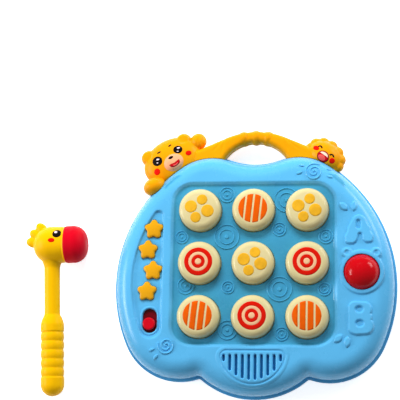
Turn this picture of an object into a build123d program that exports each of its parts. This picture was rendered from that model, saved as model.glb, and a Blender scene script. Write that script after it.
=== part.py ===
# Mole pounding game for toddlers: a flat board with a scalloped outline, nine sprung mole
# pads, four star buttons, a power slider, a roller ball and a carrying handle with two
# animal heads, and the mallet that lies beside it.
# Frame: +X to the right, +Y towards the handle, +Z up out of the board's face. The origin
# is on the flat underside, below the middle pad. All sizes are in millimetres.
import os
from math import asin, cos, degrees, radians, sin, sqrt, tan

from build123d import *

# Shared by all cuts and fits
cut_overrun = 1.0
seat_gap = 0.2  # between two mouldings that sit beside each other
thread_gap = 0.05  # between a screw's shank and its hole

# Board outline seen from above: six arcs on each side of the centre line
dip_radius = 68.2
brow_x = 41.3
brow_y = 54.3
brow_radius = 52.0
flank_radius = 139.0
cheek_x = 69.4
cheek_y = -52.8
cheek_radius = 55.4
notch_radius = 3.0
chin_y = -47.3
chin_radius = 76.7

# Shells
rim_height = 14.0  # where the two shells meet
rim_step = 2.5  # ledge of the bottom shell outside the top shell
shell_round = 17.0
shell_wall = 2.5
base_round = 9.0
tongue_height = 2.0
tongue_width = 1.5

# Rubber feet in the bottom shell: four round the edge and one below the middle pad
foot_radius = 6.5
foot_thickness = 1.8
foot_rise = 0.5  # of the bottom shell above the table
foot_edge = 0.4
top_foot_x = 70.0
top_foot_y = 62.0
bottom_foot_x = 72.0
bottom_foot_y = -88.0

# Mole pads
pad_pitch = 50.0
pads_per_side = 3
pad_diameter = 39.5
pad_gap = 0.5
pad_rise = 12.8
pad_dome = 0.9
pad_edge_radius = 6.5
pad_wall = 1.8
pad_flange_width = 2.1
pad_flange_height = 1.5
pad_travel = 3.5
pad_stop_gap = 0.3  # between the flange and the panel above it
pad_boss_radius = 2.6
pad_shoulder_radius = 7.5
pad_shoulder_height = 1.5
sleeve_gap = 0.5
sleeve_wall = 1.4
sleeve_height = 5.0

# Recessed panel
panel_depth = 3.5
panel_margin = 7.75
panel_corner = 20.0
panel_slope = 4.0

# Side recess with the star buttons and the power slider
side_depth = 2.5
side_strip = 7.0  # between the panel and the side recess
side_inset = 18.5
side_top_round = 5.0
side_bottom_round = 10.5
side_slope = 1.2

# Star buttons
star_count = 4
star_pitch = 19.6
star_top_y = 32.4
star_inset = 11.7  # from the recess's straight side to the middle of the zigzag
star_zigzag = 2.6
star_point_radius = 11.2
star_waist_share = 0.56
star_point_round = 2.4
star_waist_round = 1.4
star_gap = 0.4
star_rise = 3.6
star_edge = 1.4
star_travel = 1.5
star_stop_gap = 0.3
star_ear_reach = 11.0
star_ear_width = 6.0
star_ear_height = 1.4
star_stem_radius = 2.0

# Power slider
slot_width = 14.4
slot_length = 23.6
slot_y = -53.6
slider_travel = 6.0
slider_plate_height = 1.4
slider_plate_margin = 0.8
slider_gap = 0.3
knob_radius = 5.9
knob_rise = 2.6
knob_edge = 1.6
slider_tab_width = 2.0
slider_tab_length = 4.0
slider_tab_depth = 2.6
switch_gap = 0.4
switch_width = 9.0
switch_margin = 3.0

# Roller ball and its collar
ball_radius = 17.6
ball_x = 99.8
ball_y = -8.6
ball_wall = 1.6
ball_gap = 0.5
collar_rise = 1.7
collar_width = 4.2
collar_round = 1.2
ball_mouth_radius = 16.2
ear_x = 13.4
ear_y = 17.8
ear_ring_radius = 4.6
ear_ring_bore = 2.4
axle_radius = 2.5
axle_length = 5.0
axle_clearance = 0.06
bearing_width = 9.0
bearing_length = 3.6
bearing_top = 3.6  # above the axle's line
cradle_height = 2.5
cradle_bore_gap = 1.0
cradle_width = 5.0
cradle_drop = 7.6  # from the axle's line to the ring's top
cradle_boss_radius = 3.2
bead_radius = 2.4
bead_count = 6

# Speaker and its grille
grille_y = -81.0
grille_radius = 31.3
grille_corner = 5.0
grille_groove_width = 1.1
grille_groove_depth = 0.6
slit_count = 10
slit_pitch = 5.8
slit_width = 2.2
slit_top_drop = 3.4
slit_arc_radius = 28.6
slit_arc_rise = 2.0
speaker_y = -96.5
speaker_radius = 15.0
speaker_drop = 2.5  # ring wall between the shell and the speaker
speaker_flange = 1.0
speaker_rim_width = 2.5
speaker_depth = 9.0
speaker_taper = 4.5
speaker_wall = 0.8
cone_wall = 0.6
dust_cap_radius = 4.5
magnet_radius = 7.5
magnet_height = 3.0
clamp_width = 2.6
clamp_height = 1.6
clamp_ear_radius = 3.6
clamp_ear_reach = 3.9

# Circuit boards, switches and lamps
board_drop = 8.7  # from the panel's underside to the underside of the circuit boards
board_thickness = 1.6
board_inset = 4.5  # of the circuit board from the panel's edge
board_corner = 12.0
board_post_radius = 3.5
corner_post_share = 0.955
side_board_width = 22.0
side_board_top_y = 51.0
side_board_bottom_y = -81.0
switch_body_size = 6.0
switch_body_height = 3.0
switch_button_radius = 1.7
switch_button_height = 0.8
contact_gap = 0.1  # left between a plunger and its switch at full travel
lamp_radius = 1.5
lamp_height = 3.2
lamp_reach = 12.0
chip_radius = 5.0
chip_height = 1.5
spring_radius = 5.6
spring_wire = 0.8

# Screws
screw_head_radius = 2.7
screw_head_height = 2.0
screw_shank_radius = 1.4
screw_length = 9.0
screw_seat_height = 8.0
small_screw_length = 7.0
head_clearance = 0.4
case_boss_radius = 3.8
tab_screw_x = 42.0
tab_screw_y = 87.0
flank_screw_x = 94.0
flank_screw_y = 57.0
cheek_screw_x = 88.0
cheek_screw_y = -86.0
chin_screw_x = 38.0
chin_screw_y = -97.0

# Battery bay: three cells side by side below the lower pads
cell_count = 3
cell_radius = 7.25
cell_length = 49.2
cell_nub_radius = 2.75
cell_nub_height = 1.3
cell_spacing = 15.1
bay_y = -54.0
bay_end_room = 4.6
bay_wall = 1.5
bay_side_gap = 0.4
door_thickness = 2.0
door_recess = 0.1  # behind the bottom shell's face
door_gap = 0.4
door_tab_width = 10.0
door_tab_reach = 3.0
door_tab_height = 1.4
door_tab_x = 13.0
door_ledge = 8.0
door_screw_reach = 3.0  # of the shank above the door
door_screw_gap = 0.4
contact_thickness = 0.5
contact_width = 9.0
contact_spring_radius = 3.4

# Handle: two arms that meet over the finger gap, with a head at each end
handle_top_y = 130.4
handle_outer_radius = 72.0
handle_inner_radius = 35.5
grip_thickness = 10.7
arm_angle = 23.4  # where the arch goes over into the straight arms
bear_arm_share = 0.733  # of a head's half width, from its middle to the end of its arm
fluffy_arm_share = 0.333
handle_half_depth = 8.5
handle_round = 5.0
handle_foot_y = 92.0
hand_radius = 7.1
hand_depth = 9.6
hand_angle = 10.0
handle_tab_width = 14.0
handle_tab_depth = 10.0
handle_tab_inner_y = 80.0
handle_tab_outer_y = 108.0

# Bear head, at the left end of the handle
bear_x = -80.9
bear_y = 102.8
bear_turn = 30.5
bear_half_width = 28.8
bear_half_height = 22.0
head_half_depth = 13.0
bear_ear_x = 18.6
bear_ear_y = 13.0
bear_ear_lean = -4.0  # turn of the pair of ears on the head
bear_ear_radius = 7.8
snout_half_width = 9.3
snout_half_height = 7.6
snout_half_depth = 3.6
snout_x = 1.3
snout_y = -4.0
snout_sink = 1.6
fist_reach = 25.1
fist_lift = 19.8
fist_radius = 7.9
paw_reach = 14.6
paw_drop = 27.2
paw_z = 25.2
paw_turn = 20.0
paw_half_width = 11.0
paw_half_height = 8.6
paw_half_depth = 11.0

# Fluffy animal head, at the right end of the handle
fluffy_x = 65.8
fluffy_y = 106.2
fluffy_turn = -37.5
fluffy_half_width = 18.0
fluffy_half_height = 13.8
fluffy_lobe_radius = 6.2
fluffy_lobe_count = 9
fluffy_lobe_start = -35.0
fluffy_lobe_step = 32.0

# Mallet, in its own frame: the tip points along +X, the grip along -Y
mallet_x = -195.0
mallet_y = 20.9
mallet_turn = 1.9
mallet_head_radius = 17.8
mallet_mouth_radius = 17.2
mallet_mouth_x = 12.4
tip_length = 21.8
tip_radius = 17.8
tip_mouth_radius = 15.0
tip_mouth_round = 3.0
tip_end_round = 13.0
tip_spigot_radius = 9.0
tip_spigot_length = 4.0
neck_radius = 7.4
neck_top_y = -22.0
flare_radius = 12.2
flare_y = -10.5
flare_sag = 1.1
grip_radius = 11.1
grip_top_y = -66.5
grip_shoulder_y = -76.0
groove_depth = 0.9
groove_pitch = 8.4
groove_first_y = -83.2
groove_count = 6
grip_end_y = -143.6
comb_half_length = 7.4
comb_half_width = 5.2
comb_half_depth = 4.8
comb_reach = 18.2
comb_first_angle = 123.0
comb_step_angle = 23.5
comb_count = 3
mallet_screw_ys = (0.0, -88.0, -122.0)
mallet_screw_seat = 4.0
floor_gap = 0.05  # under the mallet where it lies

# Worked out from the sizes above
door_face = foot_rise + door_recess
door_inner = door_face + door_thickness
cell_z = door_inner + bay_side_gap + cell_radius
bay_roof = cell_z + cell_radius + bay_side_gap
board_height = bay_roof + bay_wall + head_clearance + screw_head_height
crest_height = board_height + board_drop + shell_wall + panel_depth
collar_top = crest_height + collar_rise
panel_height = crest_height - panel_depth
panel_size = (pads_per_side - 1) * pad_pitch + pad_diameter + 2 * panel_margin
board_size = panel_size - 2 * board_inset
panel_underside = panel_height - shell_wall
side_height = crest_height - side_depth
side_underside = side_height - shell_wall
crest_underside = crest_height - shell_wall
speaker_top = crest_underside - speaker_drop
board_top = board_height + board_thickness
switch_top = board_top + switch_body_height + switch_button_height
pad_radius = pad_diameter / 2
pad_flange_top = panel_underside - pad_stop_gap
pad_flange_bottom = pad_flange_top - pad_flange_height
side_edge_x = -(panel_size / 2 + side_strip)
star_x = side_edge_x - star_inset
star_middle_y = star_top_y - star_pitch * (star_count - 1) / 2
ball_z = collar_top - sqrt(ball_radius**2 - (ball_mouth_radius - ball_gap) ** 2)
bay_width = (cell_count - 1) * cell_spacing + 2 * (cell_radius + bay_side_gap)
bay_length = cell_length + cell_nub_height + 2 * bay_end_room
door_width = bay_width + 2 * bay_wall
door_tab_y = bay_y - bay_length / 2
door_screw_y = bay_y + bay_length / 2 + door_ledge / 2
handle_outer_y = handle_top_y - handle_outer_radius
handle_inner_y = handle_top_y - grip_thickness - handle_inner_radius


def meeting_point(first, first_radius, second, second_radius, side):
    # Where two circles meet, to the left (1) or right (-1) of the line between centres
    line = second - first
    along = (first_radius**2 - second_radius**2 + line.length**2) / (2 * line.length)
    across = sqrt(first_radius**2 - along**2)
    ahead = line.normalized()
    left = Vector(-ahead.Y, ahead.X)
    return first + ahead * along + left * across * side


def outline_arcs():
    # Centre, radius and bulge (1 outwards, -1 inwards) of the right half's arcs, top first
    brow = Vector(brow_x, brow_y)
    cheek = Vector(cheek_x, cheek_y)
    chin = Vector(0, chin_y)
    dip = Vector(0, brow_y + sqrt((dip_radius + brow_radius) ** 2 - brow_x**2))
    flank_to_brow = flank_radius - brow_radius
    flank_to_cheek = flank_radius - cheek_radius
    flank = meeting_point(brow, flank_to_brow, cheek, flank_to_cheek, -1)
    cheek_to_notch = cheek_radius + notch_radius
    chin_to_notch = chin_radius + notch_radius
    notch = meeting_point(cheek, cheek_to_notch, chin, chin_to_notch, 1)
    return [
        (dip, dip_radius, -1),
        (brow, brow_radius, 1),
        (flank, flank_radius, 1),
        (cheek, cheek_radius, 1),
        (notch, notch_radius, -1),
        (chin, chin_radius, 1),
    ]


def joint_directions(arc, following):
    # Directions from both centres to the point where two tangent arcs join
    centre, radius, bulge = arc
    next_centre, next_radius, next_bulge = following
    apart = (next_centre - centre).normalized()
    if bulge != next_bulge:
        return apart, -apart
    if radius < next_radius:
        return -apart, -apart
    return apart, apart


def board_outline(inset):
    # Face inside the board's outline moved inwards by inset: every arc keeps its centre
    arcs = outline_arcs()
    starts = [Vector(0, -1)]
    ends = []
    for arc, following in zip(arcs, arcs[1:]):
        leaving, arriving = joint_directions(arc, following)
        ends.append(leaving)
        starts.append(arriving)
    ends.append(Vector(0, -1))
    edges = []
    for (centre, radius, bulge), start, end in zip(arcs, starts, ends):
        reach = radius - bulge * inset
        middle = (start + end).normalized()
        points = [centre + direction * reach for direction in (start, middle, end)]
        edges.append(ThreePointArc(*points))
        edges.append(ThreePointArc(*[Vector(-p.X, p.Y) for p in points]))
    return Face(Wire(edges))


def prism(face, bottom, top):
    # Upright solid with the given flat outline between two heights
    return Pos(0, 0, bottom) * extrude(face, top - bottom, dir=(0, 0, 1))


def post(radius, x, y, bottom, top):
    # Upright round post
    return Pos(x, y, (bottom + top) / 2) * Cylinder(radius, top - bottom)


def block(width, length, x, y, bottom, top):
    # Upright rectangular block centred on x and y
    return Pos(x, y, (bottom + top) / 2) * Box(width, length, top - bottom)


def ellipsoid(half_width, half_length, half_depth):
    # Unit ball stretched to its three half sizes
    return scale(Sphere(1), by=(half_width, half_length, half_depth))


def group(solids):
    # Several separate solids kept together in one node
    return Compound(children=[solid for item in solids for solid in item.solids()])


def top_edges(solid):
    return solid.edges().group_by(Axis.Z)[-1]


def bottom_edges(solid):
    return solid.edges().group_by(Axis.Z)[0]


def screw(x, y, seat, length):
    # Pan head below the seat, shank upwards from it
    head = post(screw_head_radius, x, y, seat - screw_head_height, seat)
    return head + post(screw_shank_radius, x, y, seat, seat + length)


def mirrored_places(x, y):
    return [(-x, y), (x, y)]


def pad_places():
    # Column, row and centre of each pad, from the top left one
    middle = (pads_per_side - 1) / 2
    places = []
    for row in range(pads_per_side):
        for column in range(pads_per_side):
            x = (column - middle) * pad_pitch
            y = (middle - row) * pad_pitch
            places.append((column, row, x, y))
    return places


def star_places():
    # The stars step to the right and left of their column's middle in turn
    places = []
    for index in range(star_count):
        side = 1 if index % 2 == 0 else -1
        places.append((star_x + side * star_zigzag, star_top_y - index * star_pitch))
    return places


def case_screw_places():
    return (
        mirrored_places(tab_screw_x, tab_screw_y)
        + mirrored_places(flank_screw_x, flank_screw_y)
        + mirrored_places(cheek_screw_x, cheek_screw_y)
        + mirrored_places(chin_screw_x, chin_screw_y)
    )


def board_post_places():
    # Posts between the pads, and near the circuit board's corners
    between = pad_pitch / 2
    corner = board_size / 2 * corner_post_share
    places = []
    for side_x in (-1, 1):
        for side_y in (-1, 1):
            places.append((side_x * between, side_y * between))
            places.append((side_x * corner, side_y * corner))
    return places


def side_post_places():
    x = side_edge_x - side_board_width / 2
    return [(x, side_board_top_y - board_post_radius), (x, side_board_bottom_y + board_post_radius)]


def cradle_screw_places():
    reach = ball_radius + cradle_bore_gap + cradle_boss_radius
    step = reach * cos(radians(45))
    places = []
    for side_x in (-1, 1):
        for side_y in (-1, 1):
            places.append((ball_x + side_x * step, ball_y + side_y * step))
    return places


def speaker_screw_places():
    return mirrored_places(speaker_radius + clamp_ear_reach, speaker_y)


def rounded_square(size, corner):
    return RectangleRounded(size, size, corner)


def side_recess_face(grow):
    # Leaf shape between the panel and the left flank: one straight side, one side that
    # follows the flank, and a round end at the top and at the bottom
    flank_centre, radius, _ = outline_arcs()[2]
    flank = Vector(-flank_centre.X, flank_centre.Y)
    reach = radius - side_inset
    edges = []
    starts = []
    for way, end_radius in ((1, side_top_round), (-1, side_bottom_round)):
        x = side_edge_x - end_radius
        rise = sqrt((reach - end_radius) ** 2 - (x - flank.X) ** 2)
        centre = Vector(x, flank.Y + way * rise)
        outwards = (centre - flank).normalized()
        middle = (outwards + Vector(1, 0)).normalized()
        points = [
            centre + direction * (end_radius + grow)
            for direction in (Vector(1, 0), middle, outwards)
        ]
        edges.append(ThreePointArc(*points))
        starts.append((points[0], outwards))
    (top, top_way), (bottom, bottom_way) = starts
    middle = (top_way + bottom_way).normalized()
    points = [flank + way * (reach + grow) for way in (top_way, middle, bottom_way)]
    edges.append(ThreePointArc(*points))
    edges.append(Line(top, bottom))
    return Face(Wire(edges))


def star_face(grow):
    # Five-pointed star with rounded points and waists
    points = []
    rounds = []
    count = 5
    for index in range(2 * count):
        on_point = index % 2 == 0
        share = 1 if on_point else star_waist_share
        reach = (star_point_radius + grow) * share
        angle = radians(90 + index * 180 / count)
        points.append((reach * cos(angle), reach * sin(angle)))
        rounds.append(star_point_round if on_point else star_waist_round)
    return make_face(FilletPolyline(*points, radius=rounds, close=True))


def stadium(length, width):
    # Upright slot outline with round ends, long side along Y
    return Rot(0, 0, 90) * SlotOverall(length, width)


def half_moon(grow):
    # Flat side up, with rounded upper corners
    reach = grille_radius + grow
    disc = Pos(0, grille_y) * Circle(reach)
    below = Pos(0, grille_y - reach / 2 + grow / 2) * Rectangle(2 * reach, reach + grow)
    moon = disc & below
    corners = moon.vertices().group_by(Axis.Y)[-1]
    return fillet(corners, grille_corner + grow)


def top_shell_form(grow):
    # Outside of the top shell without its recesses, grown by a clearance
    bottom = rim_height
    form = prism(board_outline(rim_step - grow), bottom, crest_height + grow)
    return fillet(top_edges(form), shell_round + grow)


def grille_slits():
    # Slits that end on an arc at the bottom
    slits = []
    top = grille_y - slit_top_drop
    for index in range(slit_count):
        x = (index - (slit_count - 1) / 2) * slit_pitch
        low = grille_y + slit_arc_rise - sqrt(slit_arc_radius**2 - x**2)
        shape = Pos(x, (top + low) / 2) * stadium(top - low, slit_width)
        slits.append(prism(shape, crest_underside - cut_overrun, crest_height + cut_overrun))
    return slits


def ball_collar():
    # Raised ring round the ball with two small ears
    ring = post(ball_mouth_radius + collar_width, ball_x, ball_y, crest_underside, collar_top)
    ring = fillet(top_edges(ring), collar_round)
    for side in (-1, 1):
        x = ball_x + side * ear_x
        y = ball_y + ear_y
        ear = post(ear_ring_radius, x, y, crest_underside, collar_top)
        ring += fillet(top_edges(ear), collar_round)
    return ring


def ear_dimples():
    dimples = []
    depth = collar_round
    for side in (-1, 1):
        x = ball_x + side * ear_x
        y = ball_y + ear_y
        dimples.append(post(ear_ring_bore, x, y, collar_top - depth, collar_top + cut_overrun))
    return dimples


def handle_tab(x, grow):
    # Tongue of the handle that reaches into the shells
    middle = rim_height
    length = handle_tab_outer_y - handle_tab_inner_y
    y = (handle_tab_outer_y + handle_tab_inner_y) / 2
    half = handle_tab_depth / 2 + grow
    width = handle_tab_width + 2 * grow
    return block(width, length, x, y, middle - half, middle + half)


def top_shell_cavity():
    inside = prism(
        board_outline(rim_step + shell_wall), rim_height - cut_overrun, crest_underside
    )
    return fillet(top_edges(inside), shell_round - shell_wall)


def top_shell_trays():
    # Floors of the two recesses, hanging below the crest
    panel = rounded_square(panel_size + 2 * shell_wall, panel_corner + shell_wall)
    trays = prism(panel, panel_underside, crest_underside + cut_overrun)
    side = side_recess_face(shell_wall)
    return [trays, prism(side, side_underside, crest_underside + cut_overrun)]


def sloped_pocket(face, floor, slope):
    # Pocket cut down from the crest whose walls lean outwards
    depth = crest_height - floor
    lean = degrees(asin(slope / sqrt(slope**2 + depth**2)))
    pocket = extrude(face, depth + cut_overrun, dir=(0, 0, 1), taper=-lean)
    return Pos(0, 0, floor) * pocket


def top_shell_posts():
    # Everything that hangs from the inside of the top shell
    posts = []
    ceiling = crest_underside + cut_overrun
    for x, y in case_screw_places():
        posts.append(post(case_boss_radius, x, y, rim_height, ceiling))
    for x, y in board_post_places():
        posts.append(post(board_post_radius, x, y, board_top, panel_height - cut_overrun))
    for x, y in side_post_places():
        posts.append(post(board_post_radius, x, y, board_top, ceiling))
    cradle_top = ball_z - cradle_drop
    for x, y in cradle_screw_places():
        posts.append(post(cradle_boss_radius, x, y, cradle_top, ceiling))
    for x, y in speaker_screw_places():
        posts.append(post(clamp_ear_radius, x, y, speaker_top - speaker_flange, ceiling))
    wall = post(speaker_radius, 0, speaker_y, speaker_top, ceiling)
    inner = speaker_radius - speaker_rim_width
    posts.append(wall - post(inner, 0, speaker_y, speaker_top - cut_overrun, ceiling + cut_overrun))
    for _, _, x, y in pad_places():
        inner = pad_radius + pad_flange_width + sleeve_gap
        low = panel_underside - sleeve_height
        outer_ring = post(inner + sleeve_wall, x, y, low, panel_height - cut_overrun)
        posts.append(outer_ring - post(inner, x, y, low - cut_overrun, panel_underside))
    return posts


def pilot_holes():
    # Screw holes in the posts of the top shell
    holes = []
    radius = screw_shank_radius + thread_gap
    for x, y in case_screw_places():
        top = screw_seat_height + screw_length + 2 * thread_gap
        holes.append(post(radius, x, y, screw_seat_height, top))
    for x, y in board_post_places() + side_post_places():
        top = board_height + small_screw_length + thread_gap
        holes.append(post(radius, x, y, board_top - cut_overrun, top))
    for x, y in cradle_screw_places():
        low = ball_z - cradle_drop - cradle_height
        holes.append(post(radius, x, y, low, low + small_screw_length + thread_gap))
    for x, y in speaker_screw_places():
        low = speaker_top - speaker_flange - clamp_height
        holes.append(post(radius, x, y, low, low + small_screw_length / 2 + thread_gap))
    return holes


def top_shell():
    # Blue upper moulding: what hangs inside is left out of its hollow
    hollow = top_shell_cavity()
    for piece in top_shell_trays() + top_shell_posts():
        hollow -= piece
    shell = top_shell_form(0) - hollow + ball_collar()
    tongue_out = rim_step + shell_wall + seat_gap
    tongue_in = tongue_out + tongue_width
    tongue = prism(board_outline(tongue_out), rim_height - tongue_height, rim_height)
    tongue -= prism(
        board_outline(tongue_in), rim_height - tongue_height - cut_overrun, rim_height
    )
    ledge = prism(board_outline(rim_step + shell_wall / 2), rim_height, rim_height + tongue_height)
    ledge -= prism(
        board_outline(tongue_in), rim_height - cut_overrun, rim_height + tongue_height + cut_overrun
    )
    shell += tongue + ledge
    panel_floor = rounded_square(panel_size - 2 * panel_slope, panel_corner - panel_slope)
    shell -= sloped_pocket(panel_floor, panel_height, panel_slope)
    shell -= sloped_pocket(side_recess_face(-side_slope), side_height, side_slope)
    for _, _, x, y in pad_places():
        shell -= post(
            pad_radius + pad_gap, x, y, panel_underside - cut_overrun, crest_height + cut_overrun
        )
    for x, y in star_places():
        star = Pos(x, y) * star_face(star_gap)
        shell -= prism(star, side_underside - cut_overrun, crest_height)
    slot = Pos(star_x, slot_y) * stadium(slot_length, slot_width)
    shell -= prism(slot, side_underside - cut_overrun, crest_height)
    for slit in grille_slits():
        shell -= slit
    groove = half_moon(grille_groove_width) - half_moon(0)
    shell -= prism(groove, crest_height - grille_groove_depth, crest_height + cut_overrun)
    shell -= Pos(ball_x, ball_y, ball_z) * Sphere(ball_radius + ball_gap)
    for dimple in ear_dimples():
        shell -= dimple
    for side in (-1, 1):
        shell -= handle_tab(side * tab_screw_x, seat_gap)
        shell += post(
            case_boss_radius, side * tab_screw_x, tab_screw_y, rim_height, crest_underside
        )
    for hole in pilot_holes():
        shell -= hole
    return shell


def bay_walls():
    # Box round the cells and the block that takes the door's screw
    width = bay_width + 2 * bay_wall
    top = bay_roof + bay_wall
    walls = block(width, bay_length + 2 * bay_wall, 0, bay_y, foot_rise, top)
    ledge_top = screw_seat_height + shell_wall
    return walls + block(width, 2 * door_ledge, 0, door_screw_y, foot_rise, ledge_top)


def foot_places():
    corners = mirrored_places(top_foot_x, top_foot_y)
    return [(0, 0)] + corners + mirrored_places(bottom_foot_x, bottom_foot_y)


def rubber_feet():
    # Flat discs, glued into pockets of the bottom shell, that the board stands on
    feet = []
    for x, y in foot_places():
        foot = post(foot_radius, x, y, 0, foot_thickness)
        feet.append(chamfer(bottom_edges(foot), foot_edge))
    return group(feet)


def door_face_size(grow):
    length = bay_length + door_ledge + 2 * grow
    return door_width + 2 * grow, length, bay_y + door_ledge / 2


def bottom_shell_hollow():
    # Room inside the lower moulding, less its bosses and the bay's walls
    lip_bottom = rim_height - shell_wall
    inside = prism(board_outline(shell_wall), foot_rise + shell_wall, lip_bottom)
    hollow = fillet(bottom_edges(inside), base_round - shell_wall)
    mouth = board_outline(rim_step + shell_wall)
    hollow += prism(mouth, lip_bottom - cut_overrun, rim_height + cut_overrun)
    for x, y in case_screw_places():
        hollow -= post(case_boss_radius, x, y, 0, rim_height)
    channel_low = rim_height - tongue_height - seat_gap
    channel_in = rim_step + shell_wall + 2 * seat_gap + tongue_width
    channel = prism(mouth, channel_low, rim_height)
    channel -= prism(board_outline(channel_in), channel_low - cut_overrun, rim_height + cut_overrun)
    return hollow - bay_walls() + channel


def door_tab_rooms():
    # Room behind the bay's end wall in which the door's tabs hook and turn
    rooms = []
    height = door_tab_height + door_thickness
    for side in (-1, 1):
        rooms.append(
            block(
                door_tab_width + 2 * door_gap,
                2 * (door_tab_reach + door_gap),
                side * door_tab_x,
                door_tab_y,
                door_inner,
                door_inner + 2 * height,
            )
        )
    return rooms


def bottom_shell():
    # Blue lower moulding with the battery bay
    outer = prism(board_outline(0), foot_rise, rim_height)
    shell = fillet(bottom_edges(outer), base_round) - bottom_shell_hollow()
    shell += bay_walls()
    shell -= block(bay_width, bay_length, 0, bay_y, -cut_overrun, bay_roof)
    width, length, y = door_face_size(door_gap)
    shell -= block(width, length, 0, y, -cut_overrun, door_inner)
    for room in door_tab_rooms():
        shell -= room
    for x, y in foot_places():
        shell -= post(foot_radius + seat_gap, x, y, -cut_overrun, foot_thickness)
    head_room = screw_head_radius + head_clearance
    pilot = screw_shank_radius + thread_gap
    for side in (-1, 1):
        x = side * tab_screw_x
        shell -= handle_tab(x, seat_gap)
        low = foot_rise + shell_wall / 2
        shell += post(case_boss_radius, x, tab_screw_y, low, rim_height)
    for x, y in case_screw_places():
        shell -= post(head_room, x, y, -cut_overrun, screw_seat_height)
        shell -= post(pilot, x, y, 0, rim_height + cut_overrun)
    hole = screw_shank_radius + door_screw_gap
    return shell - post(hole, 0, door_screw_y, 0, door_inner + door_screw_reach + door_gap)


def arch_face():
    # Arc over the top that goes over into two straight arms, round on the inside
    turn = radians(arm_angle)
    x = handle_outer_radius * sin(turn)
    y = handle_outer_y + handle_outer_radius * cos(turn)
    right = fluffy_x - fluffy_half_width * fluffy_arm_share
    left = bear_x + bear_half_width * bear_arm_share
    right_y = y - (right - x) * tan(turn)
    left_y = y - (-left - x) * tan(turn)
    foot = handle_foot_y
    edges = [
        ThreePointArc((-x, y), (0, handle_top_y), (x, y)),
        Polyline((x, y), (right, right_y), (right, foot), (left, foot), (left, left_y), (-x, y)),
    ]
    return make_face(edges) - Pos(0, handle_inner_y) * Circle(handle_inner_radius)


def handle_arch():
    # Grip with rounded edges and the two hands that meet at its top
    arch = prism(arch_face(), rim_height - handle_half_depth, rim_height + handle_half_depth)
    arch = fillet(top_edges(arch) + bottom_edges(arch), handle_round)
    middle_radius = handle_outer_radius - grip_thickness / 2
    for step in (-1, 0, 1):
        angle = radians(90 + step * hand_angle)
        x = middle_radius * cos(angle)
        y = handle_outer_y + middle_radius * sin(angle)
        hand = ellipsoid(hand_radius, hand_radius, hand_depth)
        arch += Pos(x, y, rim_height) * hand
    return arch


def bear_head():
    # Broad head with two ears and a snout that stands up from the face
    head = ellipsoid(bear_half_width, bear_half_height, head_half_depth)
    for side in (-1, 1):
        ear = Pos(side * bear_ear_x, bear_ear_y, 0) * Sphere(bear_ear_radius)
        head += Rot(0, 0, bear_ear_lean) * ear
    snout = ellipsoid(snout_half_width, snout_half_height, snout_half_depth)
    head += Pos(snout_x, snout_y, head_half_depth - snout_sink) * snout
    head = Pos(bear_x, bear_y, rim_height) * Rot(0, 0, bear_turn) * head
    fist = Pos(bear_x + fist_reach, bear_y + fist_lift, rim_height) * Sphere(fist_radius)
    return head + fist


def bear_paw():
    paw = ellipsoid(paw_half_width, paw_half_height, paw_half_depth)
    return Pos(bear_x - paw_reach, bear_y - paw_drop, paw_z) * Rot(0, 0, paw_turn) * paw


def fluffy_head():
    # Head with a ring of round tufts
    head = ellipsoid(fluffy_half_width, fluffy_half_height, head_half_depth)
    for index in range(fluffy_lobe_count):
        angle = radians(fluffy_lobe_start + index * fluffy_lobe_step)
        x = (fluffy_half_width - fluffy_lobe_radius / 2) * cos(angle)
        y = (fluffy_half_height - fluffy_lobe_radius / 2) * sin(angle)
        head += Pos(x, y, 0) * Sphere(fluffy_lobe_radius)
    return Pos(fluffy_x, fluffy_y, rim_height) * Rot(0, 0, fluffy_turn) * head


def handle_whole():
    # The handle before it is parted into its two halves
    handle = handle_arch() + bear_head() + fluffy_head() + bear_paw()
    handle -= top_shell_form(seat_gap)
    handle -= prism(board_outline(-seat_gap), -cut_overrun, rim_height)
    for side in (-1, 1):
        handle += handle_tab(side * tab_screw_x, 0)
        hole = case_boss_radius + seat_gap
        handle -= post(hole, side * tab_screw_x, tab_screw_y, 0, crest_height)
    return handle


def handle_screw_places():
    return [(bear_x, bear_y), (fluffy_x, fluffy_y)]


def handle_halves():
    whole = handle_whole()
    plane = Plane.XY.offset(rim_height)
    front = split(whole, bisect_by=plane, keep=Keep.TOP)
    back = split(whole, bisect_by=plane, keep=Keep.BOTTOM)
    for x, y in handle_screw_places():
        seat = screw_seat_height
        back -= post(screw_head_radius + head_clearance, x, y, 0, seat)
        back -= post(screw_shank_radius + thread_gap, x, y, 0, rim_height + cut_overrun)
        top = seat + screw_length + thread_gap
        front -= post(screw_shank_radius + thread_gap, x, y, 0, top)
    return front, back


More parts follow.
